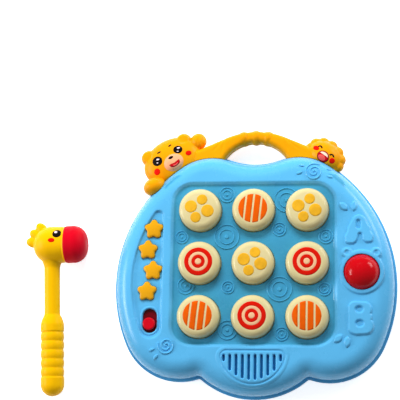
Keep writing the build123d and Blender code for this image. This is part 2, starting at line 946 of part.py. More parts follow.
def mole_pad(x, y):
    # Hollow cap with a stop flange, a plunger and a shoulder for its spring
    top = panel_height + pad_rise
    rim = top - pad_dome
    flat = pad_radius - pad_edge_radius
    inner = pad_radius - pad_wall
    ceiling = rim - pad_wall
    plunger_low = switch_top + pad_travel + contact_gap
    shoulder_low = plunger_low + pad_shoulder_height
    shoulder_top = shoulder_low + pad_shoulder_height
    dome_share = 0.5
    dome_middle = (flat * dome_share, top - pad_dome * dome_share**2)
    corner = pad_edge_radius * (1 - cos(radians(45)))
    edge_middle = (pad_radius - corner, rim - corner)
    profile = [
        ThreePointArc((0, top), dome_middle, (flat, rim)),
        ThreePointArc((flat, rim), edge_middle, (pad_radius, rim - pad_edge_radius)),
        Polyline(
            (pad_radius, rim - pad_edge_radius),
            (pad_radius, pad_flange_top),
            (pad_radius + pad_flange_width, pad_flange_top),
            (pad_radius + pad_flange_width, pad_flange_bottom),
            (inner, pad_flange_bottom),
            (inner, rim - pad_edge_radius),
            (flat, ceiling),
            (pad_boss_radius, ceiling),
            (pad_boss_radius, shoulder_top),
            (pad_shoulder_radius, shoulder_top),
            (pad_shoulder_radius, shoulder_low),
            (pad_boss_radius, shoulder_low),
            (pad_boss_radius, plunger_low),
            (0, plunger_low),
            (0, top),
        ),
    ]
    half = Plane.XZ * make_face(profile)
    return Pos(x, y) * revolve(half, Axis.Z)


def star_button(x, y):
    # Puffy star with two stop ears and a stem
    flange_top = side_underside - star_stop_gap
    ear_low = flange_top - star_ear_height
    body = prism(star_face(0), ear_low, side_height + star_rise)
    body = fillet(top_edges(body), star_edge)
    body += block(2 * star_ear_reach, star_ear_width, 0, 0, ear_low, flange_top)
    stem_low = switch_top + star_travel + contact_gap
    body += post(star_stem_radius, 0, 0, stem_low, flange_top)
    return Pos(x, y) * body


def slider_knob_y():
    # The knob rests at the lower end of its slot
    return slot_y - (slider_travel / 2)


def power_slider():
    # Plate below the slot, round knob above it, tab into the switch
    y = slider_knob_y()
    top = side_underside - slider_gap
    low = top - slider_plate_height
    length = slot_length + slider_travel + 2 * slider_plate_margin
    width = slot_width + 2 * slider_plate_margin
    plate = block(width, length, 0, 0, low, top)
    knob = post(knob_radius, 0, 0, low, side_height + knob_rise)
    knob = fillet(top_edges(knob), knob_edge)
    tab_low = low - slider_tab_depth
    tab = block(slider_tab_width, slider_tab_length, 0, 0, tab_low, top)
    return Pos(star_x, y) * (plate + knob + tab)


def power_switch():
    # Switch body with a groove for the slider's tab
    y = slider_knob_y() + slider_travel / 2
    length = slider_travel + slider_tab_length + 2 * (switch_gap + switch_margin)
    top = side_underside - slider_gap - slider_plate_height - switch_gap
    body = block(switch_width, length, star_x, y, board_top, top)
    groove_length = slider_travel + slider_tab_length + 2 * switch_gap
    groove_width = slider_tab_width + 2 * switch_gap
    low = top - slider_tab_depth
    return body - block(groove_width, groove_length, star_x, y, low, top + cut_overrun)


def ball_halves():
    # Two half shells that meet in the level plane through the axle
    ball = Sphere(ball_radius) - Sphere(ball_radius - ball_wall)
    half_room = 2 * ball_radius
    upper = ball & (Pos(0, 0, half_room / 2) * Box(half_room, half_room, half_room))
    lower = ball & (Pos(0, 0, -half_room / 2) * Box(half_room, half_room, half_room))
    pin_start = ball_radius - ball_wall / 2
    for side in (-1, 1):
        pin = Rot(90, 0, 0) * Cylinder(axle_radius, axle_length)
        pin = Pos(0, side * (pin_start + axle_length / 2), 0) * pin
        upper += pin
        lower -= pin
    place = Pos(ball_x, ball_y, ball_z)
    return place * upper, place * lower


def ball_beads():
    # Loose beads that lie in the bottom of the ball: one in the middle, the rest round it
    reach = ball_radius - ball_wall - seat_gap - bead_radius
    beads = [Pos(0, 0, -reach) * Sphere(bead_radius)]
    ring_count = bead_count - 1
    spread = degrees(2 * asin((bead_radius + seat_gap) / reach))
    for index in range(ring_count):
        turn = radians(index * 360 / ring_count)
        x = reach * sin(radians(spread)) * cos(turn)
        y = reach * sin(radians(spread)) * sin(turn)
        z = -reach * cos(radians(spread))
        beads.append(Pos(x, y, z) * Sphere(bead_radius))
    return group([Pos(ball_x, ball_y, ball_z) * bead for bead in beads])


def ball_cradle():
    # Ring below the ball with two bearing blocks and four screw lugs
    top = ball_z - cradle_drop
    low = top - cradle_height
    bore = ball_radius + cradle_bore_gap
    ring = post(bore + cradle_width, ball_x, ball_y, low, top)
    for x, y in cradle_screw_places():
        ring += post(cradle_boss_radius + seat_gap, x, y, low, top)
    start = ball_radius + ball_gap
    for side in (-1, 1):
        y = ball_y + side * (start + bearing_length / 2)
        ring += block(bearing_width, bearing_length, ball_x, y, low, ball_z + bearing_top)
    ring -= post(bore, ball_x, ball_y, low - cut_overrun, top + cut_overrun)
    ring -= Pos(ball_x, ball_y, ball_z) * Sphere(ball_radius + ball_gap)
    hole_length = 2 * (start + bearing_length + cut_overrun)
    hole = Rot(90, 0, 0) * Cylinder(axle_radius + axle_clearance, hole_length)
    ring -= Pos(ball_x, ball_y, ball_z) * hole
    for x, y in cradle_screw_places():
        ring -= post(screw_shank_radius + thread_gap, x, y, 0, ball_z)
    return ring


def game_board():
    # Circuit board below the pads
    face = rounded_square(board_size, board_corner)
    board = prism(face, board_height, board_top)
    for x, y in board_post_places():
        board -= post(screw_shank_radius + thread_gap, x, y, 0, crest_height)
    return board


def side_board():
    # Circuit board below the stars and the slider
    length = side_board_top_y - side_board_bottom_y
    x = side_edge_x - side_board_width / 2
    y = (side_board_top_y + side_board_bottom_y) / 2
    board = block(side_board_width, length, x, y, board_height, board_top)
    for hole_x, hole_y in side_post_places():
        board -= post(screw_shank_radius + thread_gap, hole_x, hole_y, 0, crest_height)
    return board


def tact_switch(x, y):
    # Square switch with a round button
    top = board_top + switch_body_height
    body = block(switch_body_size, switch_body_size, x, y, board_top, top)
    return body + post(switch_button_radius, x, y, top, switch_top)


def pad_lamp(x, y):
    # Round lamp with a domed top
    step = lamp_reach * cos(radians(45))
    top = board_top + lamp_height
    lamp = post(lamp_radius, x + step, y + step, board_top, top - lamp_radius)
    return lamp + Pos(x + step, y + step, top - lamp_radius) * Sphere(lamp_radius)


def pad_spring(x, y):
    # Plain sleeve in place of the hidden coil, from the board to the pad's shoulder
    top = switch_top + pad_travel + contact_gap + pad_shoulder_height
    outer = post(spring_radius, x, y, board_top, top)
    inner_radius = spring_radius - spring_wire
    return outer - post(inner_radius, x, y, board_top - cut_overrun, top + cut_overrun)


def sound_chip():
    # Blob of resin over the chip, between four pads
    y = pad_pitch / 2
    blob = post(chip_radius, 0, y, board_top, board_top + chip_height)
    return fillet(top_edges(blob), chip_height / 2)


def speaker_profile_radius():
    return speaker_radius - speaker_rim_width


def speaker_frame():
    # Pressed basket with a flat rim
    top = speaker_top
    low = top - speaker_depth
    rim_low = top - speaker_flange
    inner = speaker_profile_radius()
    foot = inner - speaker_taper
    profile = Polyline(
        (speaker_radius, top),
        (speaker_radius, rim_low),
        (inner, rim_low),
        (foot, low),
        (0, low),
        (0, low + speaker_wall),
        (foot - speaker_wall / 2, low + speaker_wall),
        (inner - speaker_wall, rim_low + speaker_wall / 2),
        (inner - speaker_wall, top),
        (speaker_radius, top),
    )
    return Pos(0, speaker_y) * revolve(Plane.XZ * make_face(profile), Axis.Z)


def speaker_cone():
    # Cone with a domed dust cap, a little inside the basket
    top = speaker_top - seat_gap
    rim = speaker_profile_radius() - speaker_wall - seat_gap
    low = speaker_top - speaker_depth + speaker_wall + seat_gap
    mid = (top + low) / 2
    profile = Polyline(
        (rim, top),
        (rim, top - cone_wall),
        (dust_cap_radius, mid - cone_wall),
        (dust_cap_radius, low),
        (dust_cap_radius - cone_wall, low),
        (dust_cap_radius - cone_wall, mid),
        (0, mid + cone_wall),
        (0, mid + 2 * cone_wall),
        (dust_cap_radius, mid + cone_wall),
        (rim - cone_wall, top),
        (rim, top),
    )
    return Pos(0, speaker_y) * revolve(Plane.XZ * make_face(profile), Axis.Z)


def speaker_magnet():
    top = speaker_top - speaker_depth
    return post(magnet_radius, 0, speaker_y, top - magnet_height, top)


def speaker_clamp():
    # Ring with two ears that holds the speaker's rim against the top shell
    top = speaker_top - speaker_flange
    low = top - clamp_height
    ring = post(speaker_radius + seat_gap, 0, speaker_y, low, top)
    ear_span = 2 * (speaker_radius + clamp_ear_reach)
    ring += block(ear_span, 2 * clamp_width, 0, speaker_y, low, top)
    for x, y in speaker_screw_places():
        ring += post(clamp_ear_radius, x, y, low, top)
    inner = speaker_radius - clamp_width + speaker_wall
    ring -= post(inner, 0, speaker_y, low - cut_overrun, top + cut_overrun)
    for x, y in speaker_screw_places():
        ring -= post(screw_shank_radius + thread_gap, x, y, 0, crest_height)
    return ring


def cell_places():
    # Middle of each cell, and which way it points
    places = []
    for index in range(cell_count):
        x = (index - (cell_count - 1) / 2) * cell_spacing
        way = 1 if index % 2 == 0 else -1
        places.append((x, way))
    return places


def battery_cells():
    # Cylinders with a raised nub at one end
    cells = []
    for x, way in cell_places():
        can = Rot(90, 0, 0) * Cylinder(cell_radius, cell_length)
        nub = Rot(90, 0, 0) * Cylinder(cell_nub_radius, cell_nub_height)
        can = Pos(0, -way * cell_nub_height / 2, 0) * can
        nub = Pos(0, way * cell_length / 2, 0) * nub
        cells.append(Pos(x, bay_y, cell_z) * (can + nub))
    return group(cells)


def contact_plates():
    # Thin plates against the bay's end walls
    plates = []
    y_step = (bay_length - contact_thickness) / 2
    for x, _ in cell_places():
        for side in (-1, 1):
            plates.append(
                block(
                    contact_width,
                    contact_thickness,
                    x,
                    bay_y + side * y_step,
                    cell_z - contact_width / 2,
                    cell_z + contact_width / 2,
                )
            )
    return group(plates)


def contact_springs():
    # Cone springs in plain form between a plate and a cell's flat end, and nub stubs
    springs = []
    half_cell = (cell_length + cell_nub_height) / 2
    length = bay_end_room - contact_thickness
    for x, way in cell_places():
        y = bay_y - way * (half_cell + length / 2)
        cone = Cone(contact_spring_radius, contact_spring_radius / 2, length)
        springs.append(Pos(x, y, cell_z) * Rot(-way * 90, 0, 0) * cone)
        y = bay_y + way * (half_cell + length / 2)
        stub = Rot(90, 0, 0) * Cylinder(contact_spring_radius / 2, length)
        springs.append(Pos(x, y, cell_z) * stub)
    return group(springs)


def battery_door():
    # Flush cover with two hook tabs and a screw hole
    width, length, y = door_face_size(0)
    door = block(width, length, 0, y, door_face, door_inner)
    for side in (-1, 1):
        root = door_tab_y + door_tab_reach / 2
        tab = block(
            door_tab_width,
            2 * door_tab_reach,
            side * door_tab_x,
            door_tab_y,
            door_inner + door_gap / 2,
            door_inner + door_gap / 2 + door_tab_height,
        )
        web = block(
            door_tab_width, door_tab_reach, side * door_tab_x, root, door_face, door_inner + door_gap
        )
        door += tab + web
    head_room = screw_head_radius + head_clearance
    seat = door_face + door_thickness / 2
    door -= post(head_room, 0, door_screw_y, -cut_overrun, seat)
    return door - post(screw_shank_radius + thread_gap, 0, door_screw_y, 0, door_inner + cut_overrun)


def door_screw():
    seat = door_face + door_thickness / 2
    head = post(screw_head_radius, 0, door_screw_y, door_face, seat)
    return head + post(screw_shank_radius, 0, door_screw_y, seat, door_inner + door_screw_reach)


def mallet_head_form():
    # Round at the back, nearly straight towards the tip
    round_share = 0.5
    profile = [
        ThreePointArc(
            (-mallet_head_radius, 0),
            (-mallet_head_radius * sin(radians(45)), mallet_head_radius * cos(radians(45))),
            (0, mallet_head_radius),
        ),
        ThreePointArc(
            (0, mallet_head_radius),
            (
                mallet_mouth_x * round_share,
                mallet_head_radius - (mallet_head_radius - mallet_mouth_radius) * round_share**2,
            ),
            (mallet_mouth_x, mallet_mouth_radius),
        ),
        Polyline((mallet_mouth_x, mallet_mouth_radius), (mallet_mouth_x, 0), (-mallet_head_radius, 0)),
    ]
    return revolve(make_face(profile), Axis.X)


def mallet_grip_form():
    # Flared neck, shoulder and ribbed grip in one turned shape
    flare_middle = (
        (flare_radius + neck_radius) / 2 - flare_sag,
        (flare_y + neck_top_y) / 2 - flare_sag,
    )
    groove_radius = grip_radius - groove_depth
    first = groove_first_y
    edges = [
        Line((0, 0), (flare_radius, 0)),
        Line((flare_radius, 0), (flare_radius, flare_y)),
        ThreePointArc((flare_radius, flare_y), flare_middle, (neck_radius, neck_top_y)),
        Line((neck_radius, neck_top_y), (neck_radius, grip_top_y)),
        ThreePointArc(
            (neck_radius, grip_top_y),
            ((neck_radius + grip_radius) / 2 + groove_depth / 2, (grip_top_y + grip_shoulder_y) / 2),
            (grip_radius, grip_shoulder_y),
        ),
        Line((grip_radius, grip_shoulder_y), (grip_radius, first + groove_depth)),
        Line((grip_radius, first + groove_depth), (groove_radius, first)),
    ]
    for index in range(groove_count - 1):
        start = first - index * groove_pitch
        end = start - groove_pitch
        crest = (grip_radius, (start + end) / 2)
        edges.append(ThreePointArc((groove_radius, start), crest, (groove_radius, end)))
    last = first - (groove_count - 1) * groove_pitch
    round_start = grip_end_y + grip_radius
    corner = grip_radius * cos(radians(45))
    edges += [
        Line((groove_radius, last), (grip_radius, last - groove_depth)),
        Line((grip_radius, last - groove_depth), (grip_radius, round_start)),
        ThreePointArc(
            (grip_radius, round_start), (corner, round_start - corner), (0, grip_end_y)
        ),
        Line((0, grip_end_y), (0, 0)),
    ]
    return revolve(make_face(edges), Axis.Y)


def mallet_comb():
    # Three petals behind the crown
    petals = []
    for index in range(comb_count):
        angle = comb_first_angle + index * comb_step_angle
        petal = ellipsoid(comb_half_length, comb_half_width, comb_half_depth)
        x = comb_reach * cos(radians(angle))
        y = comb_reach * sin(radians(angle))
        petals.append(Pos(x, y, 0) * Rot(0, 0, angle) * petal)
    return petals


def mallet_place():
    # The mallet lies on its head and on the end of its grip
    rest_y = grip_end_y + grip_radius
    tilt = degrees(asin((mallet_head_radius - grip_radius) / -rest_y))
    height = mallet_head_radius + floor_gap
    return Pos(mallet_x, mallet_y, height) * Rot(0, 0, mallet_turn) * Rot(tilt, 0, 0)


def mallet_halves():
    # Front half above, back half below, as the mallet lies
    whole = mallet_head_form() + mallet_grip_form()
    for petal in mallet_comb():
        whole += petal
    spigot_room = Rot(0, 90, 0) * Cylinder(
        tip_spigot_radius + seat_gap, tip_spigot_length + seat_gap
    )
    whole -= Pos(mallet_mouth_x - (tip_spigot_length + seat_gap) / 2, 0, 0) * spigot_room
    front = split(whole, bisect_by=Plane.XY, keep=Keep.TOP)
    back = split(whole, bisect_by=Plane.XY, keep=Keep.BOTTOM)
    for y in mallet_screw_ys:
        head_room = screw_head_radius + head_clearance
        back -= post(head_room, 0, y, -mallet_head_radius - cut_overrun, -mallet_screw_seat)
        back -= post(screw_shank_radius + thread_gap, 0, y, -mallet_head_radius, cut_overrun)
        top = small_screw_length - mallet_screw_seat + thread_gap
        front -= post(screw_shank_radius + thread_gap, 0, y, -cut_overrun, top)
    place = mallet_place()
    return place * front, place * back


def mallet_tip():
    # Soft round nose with a spigot into the head
    start = mallet_mouth_x
    end = start + tip_length
    mouth_share = cos(radians(45))
    end_corner = tip_end_round * (1 - mouth_share)
    end_flat = tip_radius - tip_end_round
    rise = tip_radius - tip_mouth_radius
    profile = [
        Line((start, 0), (start, tip_mouth_radius)),
        ThreePointArc(
            (start, tip_mouth_radius),
            (start + tip_mouth_round * (1 - mouth_share), tip_mouth_radius + rise * mouth_share),
            (start + tip_mouth_round, tip_radius),
        ),
        Line((start + tip_mouth_round, tip_radius), (end - tip_end_round, tip_radius)),
        ThreePointArc(
            (end - tip_end_round, tip_radius),
            (end - end_corner, tip_radius - end_corner),
            (end, end_flat),
        ),
        Line((end, end_flat), (end, 0)),
        Line((end, 0), (start, 0)),
    ]
    tip = revolve(make_face(profile), Axis.X)
    spigot = Rot(0, 90, 0) * Cylinder(tip_spigot_radius, tip_spigot_length)
    tip += Pos(start - tip_spigot_length / 2, 0, 0) * spigot
    return mallet_place() * tip


def mallet_screws():
    screws = [screw(0, y, -mallet_screw_seat, small_screw_length) for y in mallet_screw_ys]
    return group([mallet_place() * item for item in screws])


def write_node(name, shape):
    # One file for each separate piece or group of like pieces
    export_step(shape, os.path.join("parts", name + ".step"))


def write_shells():
    write_node("top_shell", top_shell())
    write_node("bottom_shell", bottom_shell())
    write_node("rubber_feet", rubber_feet())
    front, back = handle_halves()
    write_node("handle_front", front)
    write_node("handle_back", back)
    seats = [screw(x, y, screw_seat_height, screw_length) for x, y in handle_screw_places()]
    write_node("handle_screws", group(seats))
    seats = [screw(x, y, screw_seat_height, screw_length) for x, y in case_screw_places()]
    write_node("case_screws", group(seats))


def write_pads():
    row_names = ("top", "middle", "bottom")
    column_names = ("left", "centre", "right")
    for column, row, x, y in pad_places():
        name = "pad_" + row_names[row] + "_" + column_names[column]
        write_node(name, mole_pad(x, y))
    places = [(x, y) for _, _, x, y in pad_places()]
    write_node("pad_switches", group([tact_switch(x, y) for x, y in places]))
    write_node("pad_lamps", group([pad_lamp(x, y) for x, y in places]))
    write_node("pad_springs", group([pad_spring(x, y) for x, y in places]))


def write_side_controls():
    for index, (x, y) in enumerate(star_places()):
        write_node("star_button_" + str(index + 1), star_button(x, y))
    write_node("star_switches", group([tact_switch(x, y) for x, y in star_places()]))
    write_node("power_slider", power_slider())
    write_node("power_switch", power_switch())


def write_boards():
    write_node("game_board", game_board())
    write_node("side_board", side_board())
    write_node("sound_chip", sound_chip())
    places = board_post_places()
    screws = [screw(x, y, board_height, small_screw_length) for x, y in places]
    write_node("board_screws", group(screws))
    places = side_post_places()
    screws = [screw(x, y, board_height, small_screw_length) for x, y in places]
    write_node("side_board_screws", group(screws))


def write_ball():
    upper, lower = ball_halves()
    write_node("ball_red_half", upper)
    write_node("ball_clear_half", lower)
    write_node("ball_beads", ball_beads())
    write_node("ball_cradle", ball_cradle())
    seat = ball_z - cradle_drop - cradle_height
    screws = [screw(x, y, seat, small_screw_length) for x, y in cradle_screw_places()]
    write_node("cradle_screws", group(screws))


def write_speaker():
    write_node("speaker_frame", speaker_frame())
    write_node("speaker_cone", speaker_cone())
    write_node("speaker_magnet", speaker_magnet())
    write_node("speaker_clamp", speaker_clamp())
    seat = speaker_top - speaker_flange - clamp_height
    screws = [screw(x, y, seat, small_screw_length / 2) for x, y in speaker_screw_places()]
    write_node("speaker_screws", group(screws))


def write_battery_bay():
    write_node("battery_cells", battery_cells())
    write_node("contact_plates", contact_plates())
    write_node("contact_springs", contact_springs())
    write_node("battery_door", battery_door())
    write_node("door_screw", door_screw())


def write_mallet():
    front, back = mallet_halves()
    write_node("mallet_front", front)
    write_node("mallet_back", back)
    write_node("mallet_tip", mallet_tip())
    write_node("mallet_screws", mallet_screws())


os.makedirs("parts", exist_ok=True)
write_shells()
write_pads()
write_side_controls()
write_boards()
write_ball()
write_speaker()
write_battery_bay()
write_mallet()
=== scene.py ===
import math

import bmesh
import bpy
from mathutils import Matrix, Vector, geometry
from mathutils.bvhtree import BVHTree


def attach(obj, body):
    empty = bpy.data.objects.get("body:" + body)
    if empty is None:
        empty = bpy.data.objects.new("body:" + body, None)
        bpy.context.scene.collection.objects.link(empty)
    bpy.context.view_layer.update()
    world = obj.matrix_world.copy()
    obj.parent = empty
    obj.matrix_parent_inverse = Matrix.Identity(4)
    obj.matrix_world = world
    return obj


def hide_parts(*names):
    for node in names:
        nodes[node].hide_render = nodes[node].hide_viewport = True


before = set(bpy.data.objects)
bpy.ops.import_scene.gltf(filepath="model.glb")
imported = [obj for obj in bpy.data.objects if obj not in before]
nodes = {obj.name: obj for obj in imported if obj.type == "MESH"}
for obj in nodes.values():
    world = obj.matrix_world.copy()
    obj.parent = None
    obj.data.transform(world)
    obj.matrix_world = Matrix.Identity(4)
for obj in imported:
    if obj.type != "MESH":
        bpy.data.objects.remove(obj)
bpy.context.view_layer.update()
print("frame loaded:", len(nodes), "nodes")

mm = 0.001


# Small helpers

def srgb(red, green, blue):
    # Screen colour 0-255 to the linear values that a shader takes
    channels = []
    for value in (red, green, blue):
        share = value / 255
        channels.append(share / 12.92 if share <= 0.04045 else ((share + 0.055) / 1.055) ** 2.4)
    return (*channels, 1.0)


def shade(colour, factor):
    return (*[min(channel * factor, 1.0) for channel in colour[:3]], 1.0)


def newPiece(name, mesh, material, body):
    piece = bpy.data.objects.new(name, mesh)
    bpy.context.scene.collection.objects.link(piece)
    mesh.materials.append(material)
    for polygon in mesh.polygons:
        polygon.use_smooth = True
    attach(piece, body)
    return piece


def surfaceOf(thing):
    # Search tree over the outside of an object, in metres
    verts = [vertex.co.copy() for vertex in thing.data.vertices]
    faces = [list(polygon.vertices) for polygon in thing.data.polygons]
    return BVHTree.FromPolygons(verts, faces)


def heightOn(tree, x, y):
    # Height of the highest point of a surface straight below x, y (all in metres)
    hit = tree.ray_cast(Vector((x, y, 0.2)), Vector((0, 0, -1)))[0]
    return hit.z if hit else tree.find_nearest(Vector((x, y, 0.03)))[0].z


def cosineSine(degrees):
    turn = math.radians(degrees)
    return math.cos(turn), math.sin(turn)


def finishedMesh(builder, name):
    # Mesh data with every face turned outwards
    bmesh.ops.recalc_face_normals(builder, faces=builder.faces)
    data = bpy.data.meshes.new(name)
    builder.to_mesh(data)
    builder.free()
    return data


def sweptRing(name, loops):
    # Closed ring through closed loops of points in mm, the last loop joined to the first
    mesh = bmesh.new()
    rings = [[mesh.verts.new([value * mm for value in point]) for point in loop] for loop in loops]
    for first, second in zip(rings, rings[1:] + rings[:1]):
        for index in range(len(first)):
            after = (index + 1) % len(first)
            mesh.faces.new((first[index], first[after], second[after], second[index]))
    return finishedMesh(mesh, name)


# Materials

def newMaterial(name):
    material = bpy.data.materials.new(name)
    material.use_nodes = True
    return material, material.node_tree, material.node_tree.nodes["Principled BSDF"]


def placeNoise(tree, scale, detail):
    # Noise laid out in the object's own space, so it stays on the part in every view
    coords = tree.nodes.new("ShaderNodeTexCoord")
    noiseNode = tree.nodes.new("ShaderNodeTexNoise")
    noiseNode.inputs["Scale"].default_value = scale
    noiseNode.inputs["Detail"].default_value = detail
    tree.links.new(coords.outputs["Object"], noiseNode.inputs["Vector"])
    return noiseNode.outputs["Fac"]


def rangeNode(tree, source, low, high):
    node = tree.nodes.new("ShaderNodeMapRange")
    node.inputs["From Min"].default_value = 0.3
    node.inputs["From Max"].default_value = 0.7
    node.inputs["To Min"].default_value = low
    node.inputs["To Max"].default_value = high
    tree.links.new(source, node.inputs["Value"])
    return node.outputs["Result"]


def addShades(tree, shader, source, colour, factors, stops):
    # Base colour that wanders between a darker and a lighter shade
    ramp = tree.nodes.new("ShaderNodeValToRGB")
    for index in (0, 1):
        ramp.color_ramp.elements[index].position = stops[index]
        ramp.color_ramp.elements[index].color = shade(colour, factors[index])
    tree.links.new(source, ramp.inputs["Fac"])
    tree.links.new(ramp.outputs["Color"], shader.inputs["Base Color"])


def addBump(tree, shader, source, strength, depth):
    bump = tree.nodes.new("ShaderNodeBump")
    bump.inputs["Strength"].default_value = strength
    bump.inputs["Distance"].default_value = depth
    tree.links.new(source, bump.inputs["Height"])
    tree.links.new(bump.outputs["Normal"], shader.inputs["Normal"])


plasticGrain = {
    "flowScale": 22,
    "smudgeScale": 90,
    "skinScale": 1400,
    "skinDepth": 0.0002,
    "shadeStops": (0.32, 0.68),
    "glowReach": (0.004, 0.003, 0.002),
}


def mouldedPlastic(look):
    # Injection-moulded plastic: faint flow shades, uneven gloss and a fine moulded skin
    grain = plasticGrain
    material, tree, shader = newMaterial(look["name"])
    flow = placeNoise(tree, look.get("flowScale", grain["flowScale"]), 3)
    strength = look.get("flow", 0.04)
    addShades(tree, shader, flow, look["colour"], (1 - strength, 1 + strength), grain["shadeStops"])
    smudge = placeNoise(tree, grain["smudgeScale"], 4)
    rough = look["rough"]
    tree.links.new(rangeNode(tree, smudge, rough - 0.04, rough + 0.06), shader.inputs["Roughness"])
    addBump(tree, shader, placeNoise(tree, grain["skinScale"], 2), look.get("skin", 0.05), grain["skinDepth"])
    shader.inputs["Specular IOR Level"].default_value = look.get("specular", 0.3)
    if "glow" in look:
        shader.inputs["Subsurface Weight"].default_value = look["glow"]
        shader.inputs["Subsurface Radius"].default_value = grain["glowReach"]
        shader.inputs["Subsurface Scale"].default_value = 1.0
    return material


def brushedMetal(look):
    material, tree, shader = newMaterial(look["name"])
    grain = placeNoise(tree, 900, 3)
    addShades(tree, shader, grain, look["colour"], (0.85, 1.05), (0.0, 1.0))
    shader.inputs["Metallic"].default_value = 1.0
    rough = look["rough"]
    tree.links.new(rangeNode(tree, grain, rough - 0.06, rough + 0.08), shader.inputs["Roughness"])
    addBump(tree, shader, grain, 0.08, 0.0001)
    return material


def clearPlastic(look):
    material, tree, shader = newMaterial(look["name"])
    shader.inputs["Base Color"].default_value = look["colour"]
    shader.inputs["Transmission Weight"].default_value = look["clear"]
    shader.inputs["IOR"].default_value = 1.46
    haze = placeNoise(tree, 60, 3)
    tree.links.new(rangeNode(tree, haze, 0.03, 0.1), shader.inputs["Roughness"])
    addBump(tree, shader, placeNoise(tree, 300, 2), 0.03, 0.0001)
    return material


def tintOf(colour, base):
    # What a base colour is multiplied by to give another colour
    return (*[part / whole for part, whole in zip(colour[:3], base[:3])], 1.0)


def heightShare(tree, low, high):
    # 0 to 1 over a range of heights on the part, in mm
    coords = tree.nodes.new("ShaderNodeTexCoord")
    split = tree.nodes.new("ShaderNodeSeparateXYZ")
    level = tree.nodes.new("ShaderNodeMapRange")
    level.inputs["From Min"].default_value = low * mm
    level.inputs["From Max"].default_value = high * mm
    tree.links.new(coords.outputs["Object"], split.inputs["Vector"])
    tree.links.new(split.outputs["Z"], level.inputs["Value"])
    return level.outputs["Result"]


def heightShadedPlastic(look):
    # Moulded plastic with painted shade: a darker tint for each height, where a recess keeps the light out
    material = mouldedPlastic(look)
    tree = material.node_tree
    shader = tree.nodes["Principled BSDF"]
    plain = shader.inputs["Base Color"].links[0].from_socket
    low, high = look["levels"][0][0], look["levels"][-1][0]
    ramp = tree.nodes.new("ShaderNodeValToRGB")
    stops = ramp.color_ramp.elements
    while len(stops) < len(look["levels"]):
        stops.new(0.5)
    for stop, (height, colour) in zip(stops, look["levels"]):
        stop.position = (height - low) / (high - low)
        stop.color = tintOf(colour, look["colour"])
    mix = tree.nodes.new("ShaderNodeMix")
    mix.data_type = "RGBA"
    mix.blend_type = "MULTIPLY"
    mix.inputs["Factor"].default_value = 1.0
    tree.links.new(heightShare(tree, low, high), ramp.inputs["Fac"])
    tree.links.new(plain, mix.inputs["A"])
    tree.links.new(ramp.outputs["Color"], mix.inputs["B"])
    tree.links.new(mix.outputs["Result"], shader.inputs["Base Color"])
    return material


def shadeBelowPlastic(look):
    # Moulded plastic with painted shade: darker below a height, where a recess keeps the light out
    material = mouldedPlastic(look)
    tree = material.node_tree
    shader = tree.nodes["Principled BSDF"]
    bright = shader.inputs["Base Color"].links[0].from_socket
    mix = tree.nodes.new("ShaderNodeMix")
    mix.data_type = "RGBA"
    mix.inputs["A"].default_value = look["paintedShadeColour"]
    tree.links.new(heightShare(tree, look["darkBelow"], look["brightAbove"]), mix.inputs["Factor"])
    tree.links.new(bright, mix.inputs["B"])
    tree.links.new(mix.outputs["Result"], shader.inputs["Base Color"])
    return material


def ink(name, colour, rough=0.4, flow=0.05):
    return mouldedPlastic({
        "name": name, "colour": colour, "rough": rough, "flow": flow, "flowScale": 170,
        "specular": 0.12, "skin": 0.03,
    })


